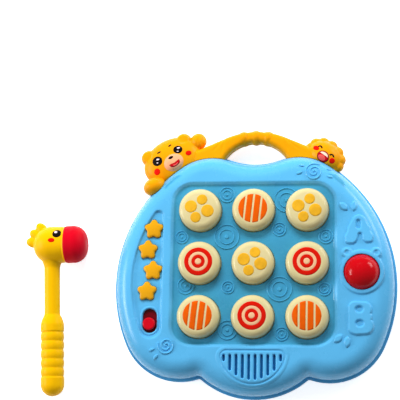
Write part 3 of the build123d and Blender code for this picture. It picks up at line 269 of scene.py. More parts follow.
finishes = {
    "blue": mouldedPlastic({
        "name": "blue_plastic", "colour": srgb(90, 182, 234), "rough": 0.25, "flow": 0.03, "specular": 0.32,
    }),
    "panelShadedBlue": heightShadedPlastic({
        "name": "panel_blue_painted_shade", "colour": srgb(90, 182, 234), "rough": 0.25, "flow": 0.03, "specular": 0.32,
        # painted shade: darker tints low in the sunk panel, back to the plain blue at 35 mm
        "levels": [
            (32.9, srgb(66, 160, 202)), (33.3, srgb(58, 152, 196)),
            (34.0, srgb(60, 154, 198)), (35.0, srgb(90, 182, 234)),
        ],
    }),
    # painted shade: the ripple rings take a darker blue than the shell, to match the shaded sunk panel
    "ripple": mouldedPlastic({
        "name": "ripple_blue_painted_shade", "colour": srgb(70, 166, 210), "rough": 0.25, "flow": 0.03, "specular": 0.32,
    }),
    # painted shade: the dark blue seen inside the speaker slits
    "slitShadeBlue": mouldedPlastic({
        "name": "slit_painted_shade_film", "colour": srgb(8, 92, 150), "rough": 0.5, "flow": 0.1,
    }),
    "yellow": mouldedPlastic({
        "name": "yellow_plastic", "colour": srgb(240, 158, 4), "rough": 0.3, "flow": 0.05, "specular": 0.12,
    }),
    "malletYellow": mouldedPlastic({
        "name": "mallet_yellow", "colour": srgb(248, 188, 2), "rough": 0.36, "flow": 0.03, "specular": 0.08,
    }),
    "starYellow": mouldedPlastic({
        "name": "star_yellow", "colour": srgb(228, 162, 14), "rough": 0.28, "flow": 0.07, "specular": 0.25,
    }),
    "cream": mouldedPlastic({
        "name": "cream_plastic", "colour": srgb(217, 203, 150), "rough": 0.2, "flow": 0.03, "glow": 0.06,
    }),
    "red": shadeBelowPlastic({
        "name": "slider_red_painted_shade", "colour": srgb(205, 4, 28), "rough": 0.24, "specular": 0.2,
        # painted shade: the slider's plate down in the slot is darkened to maroon
        "paintedShadeColour": srgb(112, 2, 18), "darkBelow": 32.6, "brightAbove": 34.6,
    }),
    "softRed": mouldedPlastic({
        "name": "soft_red_vinyl", "colour": srgb(214, 2, 30), "rough": 0.5, "skin": 0.08, "specular": 0.1,
    }),
    "ballRed": mouldedPlastic({
        "name": "ball_red", "colour": srgb(196, 0, 14), "rough": 0.15, "skin": 0.01,
        "specular": 0.2, "flow": 0.06,
    }),
    "ballClear": clearPlastic({"name": "ball_clear", "colour": srgb(240, 225, 232), "clear": 0.9}),
    "bead": mouldedPlastic({"name": "bead_plastic", "colour": srgb(230, 90, 130), "rough": 0.2}),
    "white": mouldedPlastic({"name": "white_plastic", "colour": srgb(225, 224, 220), "rough": 0.45}),
    "steel": brushedMetal({"name": "plated_steel", "colour": srgb(190, 192, 195), "rough": 0.32}),
    "board": mouldedPlastic({
        "name": "board_green", "colour": srgb(38, 110, 62), "rough": 0.35, "flow": 0.12,
    }),
    "black": mouldedPlastic({"name": "black_resin", "colour": srgb(32, 32, 34), "rough": 0.4}),
    "rubber": mouldedPlastic({
        "name": "black_rubber", "colour": srgb(38, 38, 40), "rough": 0.75, "skin": 0.2,
    }),
    "lamp": clearPlastic({"name": "lamp_clear", "colour": srgb(244, 240, 225), "clear": 0.7}),
    "cone": mouldedPlastic({"name": "speaker_paper", "colour": srgb(40, 40, 42), "rough": 0.8, "skin": 0.3}),
    "cell": mouldedPlastic({"name": "cell_sleeve", "colour": srgb(70, 78, 84), "rough": 0.3}),
    "inkOrange": ink("ink_orange", srgb(226, 90, 2)),
    "inkRed": ink("ink_red", srgb(212, 22, 4)),
    "inkTan": ink("ink_tan", srgb(234, 186, 142)),
    "inkAmber": ink("ink_amber", srgb(230, 172, 38), 0.4, 0.1),
    "inkBlack": ink("ink_black", srgb(14, 8, 8), 0.5),
    "inkBrown": ink("ink_brown", srgb(110, 8, 14)),
    "inkWhite": ink("ink_white", srgb(244, 226, 234), 0.35),
    "inkPeach": ink("ink_peach", srgb(248, 174, 128)),
    "inkCheek": ink("ink_cheek", srgb(226, 20, 0)),
    "inkMouth": ink("ink_mouth", srgb(196, 4, 22)),
    "inkTongue": ink("ink_tongue", srgb(238, 92, 84)),
    "inkTooth": ink("ink_tooth", srgb(250, 222, 198)),
}

nodeFinish = {
    "top_shell": "blue", "bottom_shell": "blue", "battery_door": "blue",
    "handle_front": "yellow", "handle_back": "yellow",
    "mallet_front": "malletYellow", "mallet_back": "malletYellow", "rubber_feet": "rubber",
    "mallet_tip": "softRed", "power_slider": "red",
    "ball_red_half": "ballRed", "ball_clear_half": "ballClear",
    "ball_beads": "bead", "ball_cradle": "white", "speaker_clamp": "white", "speaker_cone": "cone",
    "game_board": "board", "side_board": "board", "sound_chip": "black", "pad_switches": "black",
    "star_switches": "black", "power_switch": "black", "pad_lamps": "lamp", "battery_cells": "cell",
}


def finishFor(nodeName):
    if nodeName.startswith("pad_") and nodeName.split("_")[1] in ("top", "middle", "bottom"):
        return finishes["cream"]
    if nodeName.startswith("star_button"):
        return finishes["starYellow"]
    return finishes[nodeFinish.get(nodeName, "steel")]


for nodeName, nodeObject in nodes.items():
    nodeObject.data.materials.clear()
    nodeObject.data.materials.append(finishFor(nodeName))
print("finishes assigned")


# Softened mouldings: a copy of a CAD piece with the melted edges of a real moulding

shellFinish = {"finish": "blue", "slot": "blue", "body": "board"}
handleFinish = {"finish": "yellow", "slot": "yellow", "body": "board"}
malletFinish = {"finish": "malletYellow", "slot": "yellow", "body": "mallet"}
softMouldings = {
    "top_shell": {"voxel": 0.6, "rounds": 3, "keep": 0.3, **shellFinish},
    "handle_front": {"voxel": 0.5, "rounds": 6, "keep": 0.5, **handleFinish},
    "handle_back": {"voxel": 0.7, "rounds": 4, "keep": 0.4, **handleFinish},
    "mallet_front": {"voxel": 0.5, "rounds": 5, "keep": 0.5, **malletFinish},
    "mallet_back": {"voxel": 0.6, "rounds": 4, "keep": 0.4, **malletFinish},
}
starLook = {
    "voxel": 0.4, "rounds": 6, "keep": 0.6, "finish": "starYellow", "slot": "yellow",
    "swell": 0.4, "crown": 1.1,
    "crownDepth": 2.6,  # how far down from the top the shaping goes
    "blend": 0.8,
    "armReach": 8.5,
}


def applyModifiers(piece):
    bpy.context.view_layer.update()
    evaluated = piece.evaluated_get(bpy.context.evaluated_depsgraph_get())
    mesh = bpy.data.meshes.new_from_object(evaluated)
    piece.modifiers.clear()
    old = piece.data
    piece.data = mesh
    bpy.data.meshes.remove(old)


def weldedCopy(nodeName):
    source = bmesh.new()
    source.from_mesh(nodes[nodeName].data)
    bmesh.ops.remove_doubles(source, verts=source.verts, dist=0.002 * mm)
    mesh = bpy.data.meshes.new(nodeName + "_moulded")
    source.to_mesh(mesh)
    source.free()
    return mesh


def softMoulding(nodeName, look, carve=None):
    piece = bpy.data.objects.new(nodeName + "_moulded", weldedCopy(nodeName))
    bpy.context.scene.collection.objects.link(piece)
    remesh = piece.modifiers.new("remesh", "REMESH")
    remesh.mode = "VOXEL"
    remesh.voxel_size = look["voxel"] * mm
    smooth = piece.modifiers.new("smooth", "SMOOTH")
    smooth.factor = 0.5
    smooth.iterations = look["rounds"]
    applyModifiers(piece)
    if carve:
        carve(piece.data)
        settle = piece.modifiers.new("settle", "SMOOTH")
        settle.factor = 0.5
        settle.iterations = 1
    thin = piece.modifiers.new("thin", "DECIMATE")
    thin.ratio = look["keep"]
    applyModifiers(piece)
    piece.data.materials.clear()
    piece.data.materials.append(finishes[look["finish"]])
    for polygon in piece.data.polygons:
        polygon.use_smooth = True
    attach(piece, look["body"])
    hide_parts(nodeName)
    print("moulded", nodeName, len(piece.data.polygons), "faces")
    return piece


# Grooves and hollows pressed into the handle (places in mm on the part)

handleCarving = {
    "creaseWidth": 0.9,
    "creases": [  # start, end, depth
        ((-57.5, 116.0), (-53.5, 127.5), 0.5),
        ((-54.2, 115.0), (-54.6, 128.5), 0.5),
        ((-51.5, 116.0), (-50.5, 127.0), 0.5),
        ((-40.5, 111.0), (-30.0, 123.5), 0.55),
        ((-33.0, 106.0), (-30.0, 123.5), 0.4),
        ((41.5, 111.5), (27.5, 123.0), 0.55),
        ((31.5, 107.0), (27.5, 123.0), 0.4),
        ((-9.5, 119.5), (-7.0, 129.5), 0.7),
        ((8.5, 119.5), (7.0, 129.5), 0.7),
    ],
    "hollows": [  # middle, radius, depth, pressed straight down
        ((-104.2, 106.4), 5.0, 1.1),
        ((-70.4, 122.4), 5.0, 1.1),
    ],
    "lowest": 15.0,
}


def carveHandle(mesh):
    look = handleCarving
    for vertex in mesh.vertices:
        x, y, z = vertex.co / mm
        if z < look["lowest"]:
            continue
        drop = 0.0
        for (ax, ay), (bx, by), depth in look["creases"]:
            dx, dy = bx - ax, by - ay
            along = max(0.0, min(1.0, ((x - ax) * dx + (y - ay) * dy) / (dx * dx + dy * dy)))
            away = math.hypot(x - ax - along * dx, y - ay - along * dy)
            ends = math.sin(math.pi * (0.08 + 0.84 * along))
            drop = max(drop, depth * ends * math.exp(-((away / look["creaseWidth"]) ** 2)))
        if drop > 0.01:
            vertex.co -= vertex.normal * drop * mm
        for (cx, cy), radius, depth in look["hollows"]:
            away = math.hypot(x - cx, y - cy) / radius
            if away < 1.4:
                vertex.co.z -= depth * math.exp(-((away / 0.8) ** 4)) * mm


def swellStar(mesh):
    # Plump arms and a crowned top above the shell
    xs = [vertex.co.x / mm for vertex in mesh.vertices]
    top = max(vertex.co.z / mm for vertex in mesh.vertices)
    look = starLook
    high = [vertex for vertex in mesh.vertices if vertex.co.z / mm > top - look["crownDepth"]]
    cx, cy = (min(xs) + max(xs)) / 2, sum(vertex.co.y / mm for vertex in high) / len(high)
    for vertex in high:
        share = min((vertex.co.z / mm - top + look["crownDepth"]) / look["blend"], 1.0)
        away = math.hypot(vertex.co.x / mm - cx, vertex.co.y / mm - cy) / look["armReach"]
        side = Vector((vertex.normal.x, vertex.normal.y, 0))
        vertex.co += side * look["swell"] * share * mm
        vertex.co.z -= look["crown"] * share * away ** 2 * mm


thinSkin = {
    "sides": (50, 96),  # distance from the middle line
    "above": 66,
    "facing": 0.25,
    "sunk": (0.05, 1.2),  # least and most that is put back
}


def liftThinSkin(mesh):
    # Where pockets underneath leave the shell thin, the outside goes back to its CAD height
    (inner, outer), (least, most) = thinSkin["sides"], thinSkin["sunk"]
    skin = surfaceOf(nodes["top_shell"])
    for vertex in mesh.vertices:
        x, y, z = vertex.co / mm
        if inner < abs(x) < outer and y > thinSkin["above"] and vertex.normal.z > thinSkin["facing"]:
            height = heightOn(skin, vertex.co.x, vertex.co.y) / mm
            if least < height - z < most:
                vertex.co.z = height * mm


panelShade = {"half": 84.5, "lowest": 31.0}


def darkenPanel(piece):
    # The sunk panel's faces take the finish with painted shade, darker with depth
    half, lowest = panelShade["half"], panelShade["lowest"]
    piece.data.materials.append(finishes["panelShadedBlue"])
    for polygon in piece.data.polygons:
        x, y, z = polygon.center / mm
        if abs(x) < half and abs(y) < half and z > lowest:
            polygon.material_index = 1


shellPiece = softMoulding("top_shell", softMouldings["top_shell"], liftThinSkin)
darkenPanel(shellPiece)
handlePiece = softMoulding("handle_front", softMouldings["handle_front"], carveHandle)
softMoulding("handle_back", softMouldings["handle_back"])
malletPiece = softMoulding("mallet_front", softMouldings["mallet_front"])
softMoulding("mallet_back", softMouldings["mallet_back"])
for number in (1, 2, 3, 4):
    starName = "star_button_" + str(number)
    softMoulding(starName, {**starLook, "body": starName}, swellStar)


# Raised ornaments of the top shell, as signed distances in mm: positive inside a shape

def roundSpot(cx, cy, radius):
    return lambda x, y: radius - math.hypot(x - cx, y - cy)


def bar(ax, ay, bx, by, radius):
    dx, dy = bx - ax, by - ay
    length = dx * dx + dy * dy

    def distance(x, y):
        along = max(0.0, min(1.0, ((x - ax) * dx + (y - ay) * dy) / length))
        return radius - math.hypot(x - ax - along * dx, y - ay - along * dy)
    return distance


def ringBand(cx, cy, radius, half):
    return lambda x, y: half - abs(math.hypot(x - cx, y - cy) - radius)


def joined(*shapes):
    return lambda x, y: max(shape(x, y) for shape in shapes)


def without(shape, *holes):
    return lambda x, y: min(shape(x, y), *[-hole(x, y) for hole in holes])


def pathBand(points, half):
    bars = [bar(*start, *end, half) for start, end in zip(points, points[1:])]
    return joined(*bars)


def turned(shape, cx, cy, degrees):
    cosine, sine = cosineSine(degrees)

    def distance(x, y):
        dx, dy = x - cx, y - cy
        return shape(dx * cosine + dy * sine, -dx * sine + dy * cosine)
    return distance


def leaf(length, width):
    # Lens between two equal circles, with its long way along y
    radius = (length ** 2 + width ** 2) / (4 * width)
    offset = radius - width / 2
    return lambda x, y: min(radius - math.hypot(x - offset, y), radius - math.hypot(x + offset, y))


def pillow(inside, height, edge):
    # Height above the shell for a signed distance: rounded edge inside, sinking outside
    if inside <= 0:
        return max(inside, -0.2)
    share = min(inside / edge, 1.0)
    return height * (1 - (1 - share) ** 2)


shellTree = surfaceOf(shellPiece)


def reliefPiece(name, shape, middle, half, look, finish="blue"):
    # Fine grid over the shell, raised where the shape is, with a hidden underside
    step = look["step"]
    cols = int(2 * half[0] / step) + 1
    rows = int(2 * half[1] / step) + 1
    mesh = bmesh.new()
    placed = {}

    def pointAt(col, row):
        key = (col, row)
        if key not in placed:
            x = middle[0] - half[0] + col * step
            y = middle[1] - half[1] + row * step
            base = heightOn(shellTree, x * mm, y * mm) / mm
            top = base + pillow(shape(x, y), look["height"], look["edge"])
            placed[key] = mesh.verts.new((x * mm, y * mm, top * mm))
        return placed[key]

    for row in range(rows - 1):
        for col in range(cols - 1):
            x = middle[0] - half[0] + (col + 0.5) * step
            y = middle[1] - half[1] + (row + 0.5) * step
            if shape(x, y) < -1.2 * step:
                continue
            corners = ((col, row), (col + 1, row), (col + 1, row + 1), (col, row + 1))
            mesh.faces.new([pointAt(*corner) for corner in corners])
    rim = [edge for edge in mesh.edges if len(edge.link_faces) == 1]
    under = bmesh.ops.duplicate(mesh, geom=list(mesh.faces))
    twins = under["vert_map"]
    for vert in [item for item in under["geom"] if isinstance(item, bmesh.types.BMVert)]:
        vert.co.z -= look["root"] * mm
    for item in under["geom"]:
        if isinstance(item, bmesh.types.BMFace):
            item.normal_flip()
    for edge in rim:
        first, second = edge.verts
        mesh.faces.new((first, second, twins[second], twins[first]))
    piece = newPiece(name, finishedMesh(mesh, name), finishes[finish], "board")


ripples = {
    "places": [  # x, y, outer radius
        (-25.3, 65.3, 7.5), (30.6, 59.8, 12.1), (-67.2, 25.1, 6.2), (-25.0, 25.3, 12.1),
        (24.1, 32.1, 6.5), (67.1, 25.2, 6.9), (-62.8, -20.9, 8.0), (-23.2, -22.3, 6.0),
        (24.5, -23.9, 12.0), (65.7, -24.0, 6.2), (-23.3, -61.9, 9.2), (26.8, -65.4, 6.4),
    ],
    "rings": ((0.94, 0.6), (0.57, 0.55)),  # share of the radius, half width
    "dotShare": 0.17,
    "padPitch": 50.0,
    "padClear": 20.9,
    "margin": 1.5,
    "look": {"step": 0.25, "height": 1.0, "edge": 0.55, "root": 0.5},
}


def makeRipples():
    look = ripples
    padPlaces = [(col * look["padPitch"], row * look["padPitch"]) for col in (-1, 0, 1) for row in (-1, 0, 1)]
    padHoles = [roundSpot(x, y, look["padClear"]) for x, y in padPlaces]
    for index, (x, y, radius) in enumerate(look["places"]):
        rings = [ringBand(x, y, radius * share, halfWidth) for share, halfWidth in look["rings"]]
        dot = roundSpot(x, y, radius * look["dotShare"])
        shape = without(joined(dot, *rings), *padHoles)
        half = radius + look["margin"]
        reliefPiece("ripple_" + str(index + 1), shape, (x, y), (half, half), look["look"], "ripple")


letterMarks = {
    "aMiddle": (97.6, 31.2),
    "bMiddle": (99.0, -50.7),
    "look": {"step": 0.36, "height": 2.0, "edge": 2.1, "root": 0.8},
}


def makeLetters():
    look = letterMarks
    ax, ay = look["aMiddle"]
    body = joined(
        bar(ax, ay + 6.5, ax - 7.2, ay - 8.0, 6.3),
        bar(ax, ay + 6.5, ax + 7.8, ay - 7.2, 5.8),
        bar(ax - 4, ay - 2.2, ax + 4, ay - 1.8, 5.0),
        bar(ax, ay + 6.6, ax - 3.6, ay - 0.8, 7.4),
        bar(ax, ay + 6.6, ax + 4.2, ay - 0.6, 7.0),
        bar(ax - 9.7, ay - 10.4, ax - 6.4, ay - 10.6, 3.7),
        bar(ax + 6.9, ay - 9.2, ax + 9.6, ay - 9.2, 3.7),
    )
    counter = bar(ax - 0.4, ay + 6.8, ax - 0.4, ay + 2.2, 1.3)
    notch = joined(
        bar(ax + 1.0, ay - 5.6, ax - 0.4, ay - 15, 1.3),
        bar(ax + 1.0, ay - 5.6, ax + 2.0, ay - 15, 1.3),
    )
    reliefPiece("letter_a", without(body, counter, notch), (ax, ay), (15.5, 16.5), look["look"])
    bx, by = look["bMiddle"]
    body = joined(
        bar(bx - 6.2, by + 9.4, bx - 6.4, by - 9.6, 6.0),
        bar(bx - 4.5, by + 8.2, bx + 3.0, by + 7.6, 7.4),
        bar(bx - 4.0, by - 8.0, bx + 3.8, by - 7.4, 8.2),
        bar(bx - 4.0, by + 0.4, bx + 4.9, by + 0.4, 5.6),
    )
    upper = bar(bx - 2.3, by + 7.7, bx - 1.0, by + 7.7, 2.2)
    lower = bar(bx - 1.9, by - 5.2, bx - 0.7, by - 5.2, 2.4)
    reliefPiece("letter_b", without(body, upper, lower), (bx, by), (14, 17.5), look["look"])


leafMarks = {
    "places": [  # x, y, turn in degrees
        (83.3, 52.6, 48), (93.1, 53.2, -8), (78.2, -69.7, -50), (86.3, -72.8, -6),
    ],
    "length": 11.0,
    "width": 7.0,
    "margin": 1,
    "look": {"step": 0.3, "height": 1.7, "edge": 2.2, "root": 0.6},
}


def makeLeaves():
    look = leafMarks
    for index, (x, y, turn) in enumerate(look["places"]):
        shape = turned(leaf(look["length"], look["width"]), x, y, turn)
        half = look["length"] / 2 + look["margin"]
        reliefPiece("leaf_" + str(index + 1), shape, (x, y), (half, half), look["look"])


spiralMarks = {
    "spirals": [(-79.2, -76.9, 165, 8.2), (56.4, 86.0, 60, 9.0)],  # x, y, start in degrees, radius
    "turns": 2.2,
    "steps": 44,
    "shrink": 0.93,  # share of the radius lost from the outer end to the inner
    "lineHalf": 0.95,
    "margin": 1.8,
    "drops": [  # x, y, turn in degrees
        (-92.6, -80.6, -70), (-88.7, -87.2, -40), (44.3, 92.6, 72), (42.6, 85.2, -70),
        (70.6, 89.8, -85), (70.8, 81.5, 70),
    ],
    "dropLength": 6.6,
    "dropWidth": 3.2,
    "dropField": 4.2,
    "look": {"step": 0.27, "height": 1.3, "edge": 1.0, "root": 0.5},
}


def makeSpirals():
    look = spiralMarks
    for index, (cx, cy, start, radius) in enumerate(look["spirals"]):
        points = []
        for step in range(look["steps"] + 1):
            share = step / look["steps"]
            angle = math.radians(start + 360 * look["turns"] * share)
            reach = radius * (1 - look["shrink"] * share)
            points.append((cx + reach * math.cos(angle), cy + reach * math.sin(angle)))
        shape = pathBand(points, look["lineHalf"])
        half = radius + look["margin"]
        reliefPiece("spiral_" + str(index + 1), shape, (cx, cy), (half, half), look["look"])
    for index, (x, y, turn) in enumerate(look["drops"]):
        shape = turned(leaf(look["dropLength"], look["dropWidth"]), x, y, turn)
        half = look["dropField"]
        reliefPiece("drop_" + str(index + 1), shape, (x, y), (half, half), look["look"])


grilleMarks = {
    "middle": (0.3, -81.0),
    "radius": 30.1,
    "corner": 6.5,
    "grooveHalf": 0.55,
    "lipReach": 4.4,
    "lipFall": 0.35,  # how steeply the lip thins outwards
    "slits": {"count": 10, "pitch": 5.8, "half": 1.25, "top": -84.6, "arcRadius": 28.6, "arcMiddle": -79.0},
    "look": {"step": 0.3, "height": 0.75, "edge": 0.9, "root": 0.6},
    "backing": {"inset": 2.0, "drop": 2.0, "probe": 1.5, "under": 2.35, "thick": 0.3, "steps": 32},
}


def halfMoon(cx, cy, radius, corner):
    # Lower half of a disc with rounded upper corners
    def distance(x, y):
        fromArc = corner - (radius - math.hypot(x - cx, y - cy))
        fromTop = corner - (cy - y)
        return corner - math.hypot(max(fromArc, 0), max(fromTop, 0)) - min(max(fromArc, fromTop), 0)
    return distance


def grilleSlits(look):
    slits = []
    for index in range(look["count"]):
        x = (index - (look["count"] - 1) / 2) * look["pitch"]
        low = look["arcMiddle"] - math.sqrt(look["arcRadius"] ** 2 - x ** 2)
        slits.append(bar(x, look["top"] - look["half"], x, low + look["half"], look["half"]))
    return joined(*slits)


def makeGrille():
    look = grilleMarks
    cx, cy = look["middle"]
    moon = halfMoon(cx, cy, look["radius"], look["corner"])
    slits = grilleSlits(look["slits"])
    groove, reach = look["grooveHalf"], look["lipReach"]

    def field(x, y):
        inside = moon(x, y)
        if inside > 0:
            return min(inside - groove, -slits(x, y))
        return min(-inside - groove, (reach + inside) * look["lipFall"])

    wide, high = look["radius"] + reach, look["radius"] / 2 + reach
    reliefPiece("grille_lip", field, (cx, cy - look["radius"] / 2), (wide, high), look["look"])


def makeGrilleShadeFilm():
    # Painted shade: a dark blue sheet behind the slits, standing for the shade inside them
    backing = grilleMarks["backing"]
    cx, cy = grilleMarks["middle"]
    top = heightOn(shellTree, cx * mm, (cy - backing["probe"]) * mm) - backing["under"] * mm
    radius = grilleMarks["radius"] - backing["inset"]
    cy -= backing["drop"]
    outline = [(cx - radius, cy), (cx + radius, cy)]
    for step in range(1, backing["steps"]):
        angle = -math.pi * step / backing["steps"]
        outline.append((cx + radius * math.cos(angle), cy + radius * math.sin(angle)))
    mesh = bmesh.new()
    upper = [mesh.verts.new((x * mm, y * mm, top)) for x, y in outline]
    lower = [mesh.verts.new((x * mm, y * mm, top - backing["thick"] * mm)) for x, y in outline]
    mesh.faces.new(upper)
    mesh.faces.new(lower[::-1])
    for index in range(len(outline)):
        after = (index + 1) % len(outline)
        mesh.faces.new((upper[index], upper[after], lower[after], lower[index]))
    data = finishedMesh(mesh, "grille_shade_film")
    newPiece("grille_shade_film", data, finishes["slitShadeBlue"], "board")
    for polygon in data.polygons:
        polygon.use_smooth = False


slotRim = {
    "middle": (-95.7, -53.6),
    "halfWidth": 7.2,
    "length": 23.6,
    "profile": [  # distance outside the slot's edge, height over the recess floor
        (2.1, -0.3), (1.9, 0.05), (1.3, 0.5), (0.6, 0.62), (0.0, 0.35),
        (-0.55, -0.5), (-0.75, -1.9), (0.2, -1.9), (0.4, -0.5),
    ],
    "probe": 3,
    "steps": 24,
}


def makeSlotRim():
    # Raised and bevelled lip round the slider's slot
    look = slotRim
    cx, cy = look["middle"]
    straight = look["length"] / 2 - look["halfWidth"]
    floor = heightOn(shellTree, (cx - look["halfWidth"] - look["probe"]) * mm, cy * mm) / mm
    loops = []
    for away, height in look["profile"]:
        radius = look["halfWidth"] + away
        loop = []
        for end in (1, -1):
            for step in range(look["steps"] + 1):
                angle = math.pi * step / look["steps"] + (0 if end == 1 else math.pi)
                x = cx + radius * math.cos(angle)
                y = cy + end * straight + radius * math.sin(angle)
                loop.append((x, y, floor + height))
        loops.append(loop)
    piece = newPiece("slot_rim", sweptRing("slot_rim", loops), finishes["blue"], "board")


malletCuff = {
    "place": (-195.0, 20.9),
    "turn": 1.9,
    "profile": [  # distance along the head, radius
        (12.2, 15.9), (12.2, 17.2), (14.6, 17.4), (15.1, 17.0), (15.1, 15.9),
    ],
    "steps": 72,
}


def makeMalletCuff():
    # Yellow edge of the head that reaches a little over the red tip
    look = malletCuff
    heights = [vertex.co.z for vertex in nodes["mallet_tip"].data.vertices]
    middle = (min(heights) + max(heights)) / 2 / mm
    cx, cy = look["place"]
    cosine, sine = cosineSine(look["turn"])
    loops = []
    for along, radius in look["profile"]:
        loop = []
        for step in range(look["steps"]):
            angle = 2 * math.pi * step / look["steps"]
            side, up = radius * math.cos(angle), radius * math.sin(angle)
            x, y = cx + along * cosine - side * sine, cy + along * sine + side * cosine
            loop.append((x, y, middle + up))
        loops.append(loop)
    data = sweptRing("mallet_cuff", loops)
    piece = newPiece("mallet_cuff", data, finishes["malletYellow"], "mallet")


makeMalletCuff()
makeRipples()
makeLetters()
makeLeaves()
makeSpirals()
makeGrille()
makeGrilleShadeFilm()
makeSlotRim()
print("raised ornaments made")


# Prints: thin ink layers that follow the surface they lie on

def circlePoints(cx, cy, radiusX, radiusY=None, turn=0.0, count=40):
    radiusY = radiusY or radiusX
    cosine, sine = cosineSine(turn)
    points = []
    for index in range(count):
        angle = 2 * math.pi * index / count
        x, y = radiusX * math.cos(angle), radiusY * math.sin(angle)
        points.append((cx + x * cosine - y * sine, cy + x * sine + y * cosine))
    return points


def filledOutline(outline, spacing):
    # Triangles inside an outline, with inner points so that the layer can bend
    count = len(outline)
    points = [Vector(point) for point in outline]
    lowX, highX = min(p.x for p in points), max(p.x for p in points)
    lowY, highY = min(p.y for p in points), max(p.y for p in points)
    y = lowY + spacing
    while y < highY:
        x = lowX + spacing
        while x < highX:
            inside = False
            nearest = 1e9
            for index in range(count):
                a, b = points[index], points[(index + 1) % count]
                if (a.y > y) != (b.y > y) and x < (b.x - a.x) * (y - a.y) / (b.y - a.y) + a.x:
                    inside = not inside
                nearest = min(nearest, (a - Vector((x, y))).length)
            if inside and nearest > spacing * 0.6:
                points.append(Vector((x, y)))
            x += spacing
        y += spacing
    edges = [(index, (index + 1) % count) for index in range(count)]
    result = geometry.delaunay_2d_cdt(points, edges, [list(range(count))], 1, 1e-6)
    return result[0], result[2]


inkRoot = 0.12  # how far an ink layer reaches under the surface


def inkLayer(name, outline, tree, finish, body, lift=0.05, spacing=1.2):
    verts2d, faces = filledOutline(outline, spacing)
    mesh = bmesh.new()
    tops = []
    lows = []
    for point in verts2d:
        z = heightOn(tree, point.x * mm, point.y * mm)
        tops.append(mesh.verts.new((point.x * mm, point.y * mm, z + lift * mm)))
        lows.append(mesh.verts.new((point.x * mm, point.y * mm, z - inkRoot * mm)))
    for face in faces:
        mesh.faces.new([tops[index] for index in face])
        mesh.faces.new([lows[index] for index in reversed(face)])
    twins = dict(zip(tops, lows))
    topSet = set(tops)
    rim = [
        edge for edge in mesh.edges
        if len(edge.link_faces) == 1 and edge.verts[0] in topSet and edge.verts[1] in topSet
    ]
    for edge in rim:
        first, second = edge.verts
        mesh.faces.new((first, second, twins[second], twins[first]))
    newPiece(name, finishedMesh(mesh, name), finishes[finish], body)


def inkRing(name, cx, cy, inner, outer, tree, finish, body, lift=0.05):
    # Closed ring band on the surface
    around, across = 72, 4
    mesh = bmesh.new()
    rows = []
    for ring in range(across + 1):
        radius = inner + (outer - inner) * ring / across
        row = []
        for index in range(around):
            angle = 2 * math.pi * index / around
            x, y = cx + radius * math.cos(angle), cy + radius * math.sin(angle)
            z = heightOn(tree, x * mm, y * mm)
            row.append([mesh.verts.new((x * mm, y * mm, z + away * mm)) for away in (lift, -inkRoot)])
        rows.append(row)
    for near, far in zip(rows, rows[1:]):
        for index in range(around):
            after = (index + 1) % around
            for layer in (0, 1):
                corners = [near[index][layer], far[index][layer], far[after][layer], near[after][layer]]
                mesh.faces.new(corners if layer == 0 else corners[::-1])
    for row in (rows[0], rows[-1]):
        for index in range(around):
            after = (index + 1) % around
            mesh.faces.new((row[index][0], row[after][0], row[after][1], row[index][1]))
    newPiece(name, finishedMesh(mesh, name), finishes[finish], body)


padPrints = {
    "pitch": 50.0,
    "rows": [("dots", "stripes", "dots"), ("rings", "dots", "rings"), ("stripes", "rings", "stripes")],
    "ringEdges": (2.9, 6.2, 9.0, 13.1),
    "dots": [(-7.8, 2.0, 5.9), (2.6, 8.4, 5.0), (7.8, -2.2, 5.9), (-3.2, -8.3, 5.0)],
    "stripeTurns": {"top_centre": -6.0, "bottom_left": -6.0, "bottom_right": -0.5},
    "stripeDisc": 13.5,
    "stripeGap": 1.7,
    "stripeCount": 4,
    "edgeTrim": 0.05,
}


def stripeOutline(low, high, radius, steps=8):
    # Band of a disc between two upright lines
    def reach(x):
        return math.sqrt(max(radius ** 2 - x ** 2, 0.04))

    def side(x, way):
        # Points about 1 mm apart along an upright edge, way 1 for up and -1 for down
        count = max(int(2 * reach(x)), 1)
        return [(x, way * (-reach(x) + 2 * reach(x) * index / count)) for index in range(1, count)]

    across = [low + (high - low) * index / steps for index in range(steps + 1)]
    points = [(x, -reach(x)) for x in across] + side(high, 1)
    return points + [(x, reach(x)) for x in reversed(across)] + side(low, -1)


def printPad(kind, name, body, cx, cy, tree):
    look = padPrints
    if kind == "rings":
        first, second, third, last = look["ringEdges"]
        inkLayer(name + "_middle", circlePoints(cx, cy, first), tree, "inkTan", body, lift=0.04)
        inkRing(name + "_inner_ring", cx, cy, first, second, tree, "inkRed", body)
        inkRing(name + "_pale_ring", cx, cy, second, third, tree, "inkTan", body, lift=0.04)
        inkRing(name + "_outer_ring", cx, cy, third, last, tree, "inkRed", body)
    elif kind == "dots":
        for index, (dx, dy, radius) in enumerate(look["dots"]):
            outline = circlePoints(cx + dx, cy + dy, radius)
            inkLayer(name + "_dot_" + str(index + 1), outline, tree, "inkAmber", body)
    else:
        radius, trim = look["stripeDisc"], look["edgeTrim"]
        width = (2 * radius - (look["stripeCount"] - 1) * look["stripeGap"]) / look["stripeCount"]
        cosine, sine = cosineSine(look["stripeTurns"][name[len("print_"):]])
        for index in range(look["stripeCount"]):
            low = -radius + index * (width + look["stripeGap"])
            outline = stripeOutline(max(low, -radius + trim), min(low + width, radius - trim), radius)
            placed = [(cx + x * cosine - y * sine, cy + x * sine + y * cosine) for x, y in outline]
            inkLayer(name + "_stripe_" + str(index + 1), placed, tree, "inkOrange", body)


def printPads():
    look = padPrints
    rowNames = ("top", "middle", "bottom")
    colNames = ("left", "centre", "right")
    for row, kinds in enumerate(look["rows"]):
        for col, kind in enumerate(kinds):
            padName = "pad_" + rowNames[row] + "_" + colNames[col]
            tree = surfaceOf(nodes[padName])
            cx, cy = (col - 1) * look["pitch"], (1 - row) * look["pitch"]
            printPad(kind, "print_" + rowNames[row] + "_" + colNames[col], padName, cx, cy, tree)


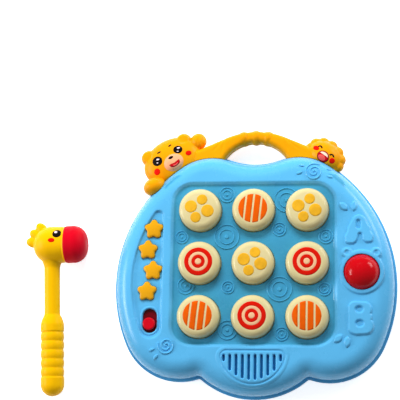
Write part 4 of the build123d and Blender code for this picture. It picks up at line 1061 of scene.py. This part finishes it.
printPads()
print("pads printed")


# Faces of the two heads and of the mallet

def painterOn(moulding, body):
    # Gives the function that prints an outline on one moulding
    tree = surfaceOf(moulding)

    def paint(name, outline, finish, lift=0.1, spacing=0.8):
        inkLayer(name, outline, tree, finish, body, lift, spacing)
    return paint


bearFace = {
    "turn": 30.5,
    "eyes": [(-93.8, 100.7, 5.0, 4.7), (-74.2, 111.9, 4.4, 4.0)],
    "eyeTurn": 10,
    "glints": [(0.5, 1.6, 1.55, 0.85, 12), (0.1, -1.8, 0.85, 0.5, 15)],  # from each eye's middle
    "brows": [(-92.7, 109.4, 2.0, 0.85, 24), (-82.3, 116.2, 1.75, 0.85, 38)],
    "nose": (-80.5, 103.4, 2.6, 1.45, 22),
    "snout": (-77.8, 99.2, 9.6, 8.0),
    "mouthStart": (-80.9, 95.7), "mouthEnd": (-72.5, 100.9), "mouthDepth": 3.0,
    "cheeks": [(-93.9, 90.6, 3.1, 3.0), (-64.0, 108.8, 2.9, 2.4)],
}


def mouthPoints(start, end, depth, edge):
    # Smile with a nearly straight upper lip and a round belly, grown by edge all round
    (ax, ay), (bx, by) = start, end
    length = math.hypot(bx - ax, by - ay)
    ux, uy = (bx - ax) / length, (by - ay) / length
    middle = Vector(((ax + bx) / 2, (ay + by) / 2))
    points = []
    count = 26
    for index in range(count + 1):
        share = index / count
        along = (share - 0.5) * (length + 2 * edge)
        belly = depth * math.sin(math.pi * share) ** 0.35 + edge
        points.append((middle.x + ux * along + uy * belly, middle.y + uy * along - ux * belly))
    for index in range(count, -1, -1):
        share = index / count
        along = (share - 0.5) * (length + 2 * edge)
        lip = 0.35 * math.cos(2 * math.pi * share) + edge
        points.append((middle.x + ux * along - uy * lip, middle.y + uy * along + ux * lip))
    return points


def paintBear():
    look = bearFace
    paint = painterOn(handlePiece, "board")
    x, y, wide, high = look["snout"]
    paint("bear_snout", circlePoints(x, y, wide, high, look["turn"]), "inkPeach", spacing=0.7)
    for index, (x, y, wide, high) in enumerate(look["eyes"]):
        side = str(index + 1)
        paint("bear_eye_" + side, circlePoints(x, y, wide, high, look["eyeTurn"]), "inkBlack")
        for spot, (dx, dy, glintWide, glintHigh, turn) in enumerate(look["glints"]):
            outline = circlePoints(x + dx, y + dy, glintWide, glintHigh, turn, 24)
            paint("bear_glint_" + side + "_" + str(spot + 1), outline, "inkWhite", 0.16, 0.6)
    for index, (x, y, wide, high, turn) in enumerate(look["brows"]):
        outline = circlePoints(x, y, wide, high, turn, 24)
        paint("bear_brow_" + str(index + 1), outline, "inkBlack", spacing=0.6)
    x, y, wide, high, turn = look["nose"]
    paint("bear_nose", circlePoints(x, y, wide, high, turn), "inkBlack", 0.18, 0.7)
    start, end, depth = Vector(look["mouthStart"]), Vector(look["mouthEnd"]), look["mouthDepth"]
    paint("bear_mouth_edge", mouthPoints(start, end, depth, 0.45), "inkBrown", 0.16, 0.7)
    paint("bear_mouth", mouthPoints(start, end, depth, 0.1), "inkMouth", 0.22, 0.7)
    tongueStart, tongueEnd = start.lerp(end, 0.24), start.lerp(end, 0.78)
    down = Vector((end.y - start.y, start.x - end.x)).normalized() * 1.5
    tongue = mouthPoints(tongueStart + down, tongueEnd + down, depth - 1.7, 0.0)
    paint("bear_tongue", tongue, "inkTongue", 0.28, 0.6)
    for index, (x, y, wide, high) in enumerate(look["cheeks"]):
        outline = circlePoints(x, y, wide, high, look["turn"])
        paint("bear_cheek_" + str(index + 1), outline, "inkCheek")


fluffyFace = {
    "turn": -37.5,
    "mouth": (64.2, 103.2, 6.0, 5.2),
    "mouthLine": 0.7,
    "eyes": [(61.2, 111.8, 15), (72.1, 103.1, 20)],
    "eyeRadius": 1.9,
    "eyeHalf": 0.72,
    "cheeks": [(57.7, 111.9, 3.1, 2.2, 5), (72.6, 99.2, 2.4, 2.8, -20)],
}


def paintFluffy():
    look = fluffyFace
    paint = painterOn(handlePiece, "board")
    x, y, wide, high = look["mouth"]
    turn = look["turn"]
    line = look["mouthLine"]
    paint("fluffy_mouth_edge", circlePoints(x, y, wide, high, turn), "inkBrown")
    paint("fluffy_mouth", circlePoints(x, y, wide - line, high - line, turn), "inkMouth", 0.16)
    cosine, sine = cosineSine(turn)
    tongue = circlePoints(x + 1.6 * sine - 0.3, y - 1.6 * cosine + 0.1, wide * 0.62, high * 0.48, turn)
    paint("fluffy_tongue", tongue, "inkTongue", 0.22, 0.7)
    teeth = []
    for index in range(25):
        angle = math.radians(22 + 136 * index / 24)
        teeth.append(((wide - 1.1) * math.cos(angle), (high - 1.1) * math.sin(angle)))
    teeth = [(x - dx * -cosine - dy * sine, y + dx * sine + dy * cosine) for dx, dy in teeth]
    paint("fluffy_teeth", teeth, "inkTooth", 0.22, 0.7)
    for index, (ex, ey, lean) in enumerate(look["eyes"]):
        inner, outer = look["eyeRadius"] - look["eyeHalf"], look["eyeRadius"] + look["eyeHalf"]
        start, sweep, count = turn + lean, 165, 16
        arc = [math.radians(start + sweep * step / count) for step in range(count + 1)]
        outline = [(ex + outer * math.cos(a), ey + outer * math.sin(a)) for a in arc]
        outline += [(ex + inner * math.cos(a), ey + inner * math.sin(a)) for a in reversed(arc)]
        paint("fluffy_eye_" + str(index + 1), outline, "inkBlack", 0.12, 0.6)
    for index, (cx, cy, wide, high, lean) in enumerate(look["cheeks"]):
        outline = circlePoints(cx, cy, wide, high, turn + lean)
        paint("fluffy_cheek_" + str(index + 1), outline, "inkCheek")


malletFace = {
    "eye": (-187.3, 29.2, 4.2, 4.0),
    "glints": [(-188.5, 30.7, 1.5, 1.2)],
    "cheek": (-192.0, 22.6, 3.2, 2.1),
}


def paintMallet():
    look = malletFace
    paint = painterOn(malletPiece, "mallet")
    paint("mallet_eye", circlePoints(*look["eye"]), "inkBlack")
    for index, glint in enumerate(look["glints"]):
        outline = circlePoints(*glint, 0, 24)
        paint("mallet_glint_" + str(index + 1), outline, "inkWhite", 0.16, 0.6)
    paint("mallet_cheek", circlePoints(*look["cheek"]), "inkCheek")


paintBear()
paintFluffy()
paintMallet()
print("faces painted")


# Floor, light and camera

studio = {
    "floorSize": 4.0,
    "floorColour": srgb(250, 250, 250),
    "floorWhite": 0.72,
    "ambient": 0.3,
    "lamps": [  # name, place, width and height, power
        ("key_lamp", (-0.15, 0.8, 0.78), (0.7, 0.35), 11.5),
        ("left_lamp", (-1.15, 0.0, 0.45), (0.6, 0.3), 7.0),
        ("right_lamp", (0.9, 0.75, 0.4), (0.55, 0.3), 5.0),
    ],
    "cameraPlace": (0.1098, -0.2106, 1.2656),
    "cameraTurn": (-0.2158, -0.1271, -0.0051),
    "lens": 121.69,
}


def makeFloor():
    look = studio
    half = look["floorSize"] / 2
    mesh = bpy.data.meshes.new("floor")
    corners = [(-half, -half), (half, -half), (half, half), (-half, half)]
    mesh.from_pydata([(x, y, -0.0002) for x, y in corners], [], [(0, 1, 2, 3)])
    floor = bpy.data.objects.new("floor", mesh)
    bpy.context.scene.collection.objects.link(floor)
    material, tree, shader = newMaterial("floor_white")
    shader.inputs["Base Color"].default_value = look["floorColour"]
    shader.inputs["Roughness"].default_value = 0.9
    glow = tree.nodes.new("ShaderNodeEmission")
    rays = tree.nodes.new("ShaderNodeLightPath")
    seen = rays.outputs["Is Camera Ray"]
    for other in ("Is Glossy Ray", "Is Transmission Ray"):
        either = tree.nodes.new("ShaderNodeMath")
        either.operation = "ADD"
        tree.links.new(seen, either.inputs[0])
        tree.links.new(rays.outputs[other], either.inputs[1])
        seen = either.outputs[0]
    strength = tree.nodes.new("ShaderNodeMath")
    strength.operation = "MULTIPLY"
    strength.use_clamp = True
    tree.links.new(seen, strength.inputs[0])
    strength.inputs[1].default_value = look["floorWhite"]
    tree.links.new(strength.outputs[0], glow.inputs["Strength"])
    both = tree.nodes.new("ShaderNodeAddShader")
    out = tree.nodes["Material Output"]
    tree.links.new(shader.outputs[0], both.inputs[0])
    tree.links.new(glow.outputs[0], both.inputs[1])
    tree.links.new(both.outputs[0], out.inputs["Surface"])
    mesh.materials.append(material)


def makeWorld():
    world = bpy.data.worlds.new("studio")
    bpy.context.scene.world = world
    world.use_nodes = True
    sky = world.node_tree.nodes["Background"]
    sky.inputs["Color"].default_value = (1, 1, 1, 1)
    sky.inputs["Strength"].default_value = studio["ambient"]


def makeLamps():
    for name, place, size, power in studio["lamps"]:
        data = bpy.data.lights.new(name, "AREA")
        data.shape = "RECTANGLE"
        data.size, data.size_y = size
        data.energy = power
        lamp = bpy.data.objects.new(name, data)
        lamp.location = place
        lamp.rotation_euler = (-Vector(place)).to_track_quat("-Z", "Y").to_euler()
        lamp.visible_glossy = name != "key_lamp"
        bpy.context.scene.collection.objects.link(lamp)


def makeCamera():
    look = studio
    data = bpy.data.cameras.new("camera")
    data.lens = look["lens"]
    data.sensor_width = 36
    data.clip_end = 20
    camera = bpy.data.objects.new("camera", data)
    bpy.context.scene.collection.objects.link(camera)
    axis = Vector(look["cameraTurn"])
    turn = Matrix.Rotation(axis.length, 3, axis.normalized()).transposed()
    camera.matrix_world = Matrix.Translation(look["cameraPlace"]) @ turn.to_4x4()
    bpy.context.scene.camera = camera


makeFloor()
makeWorld()
makeLamps()
makeCamera()
bpy.context.scene.view_settings.view_transform = "Standard"
print("studio ready")
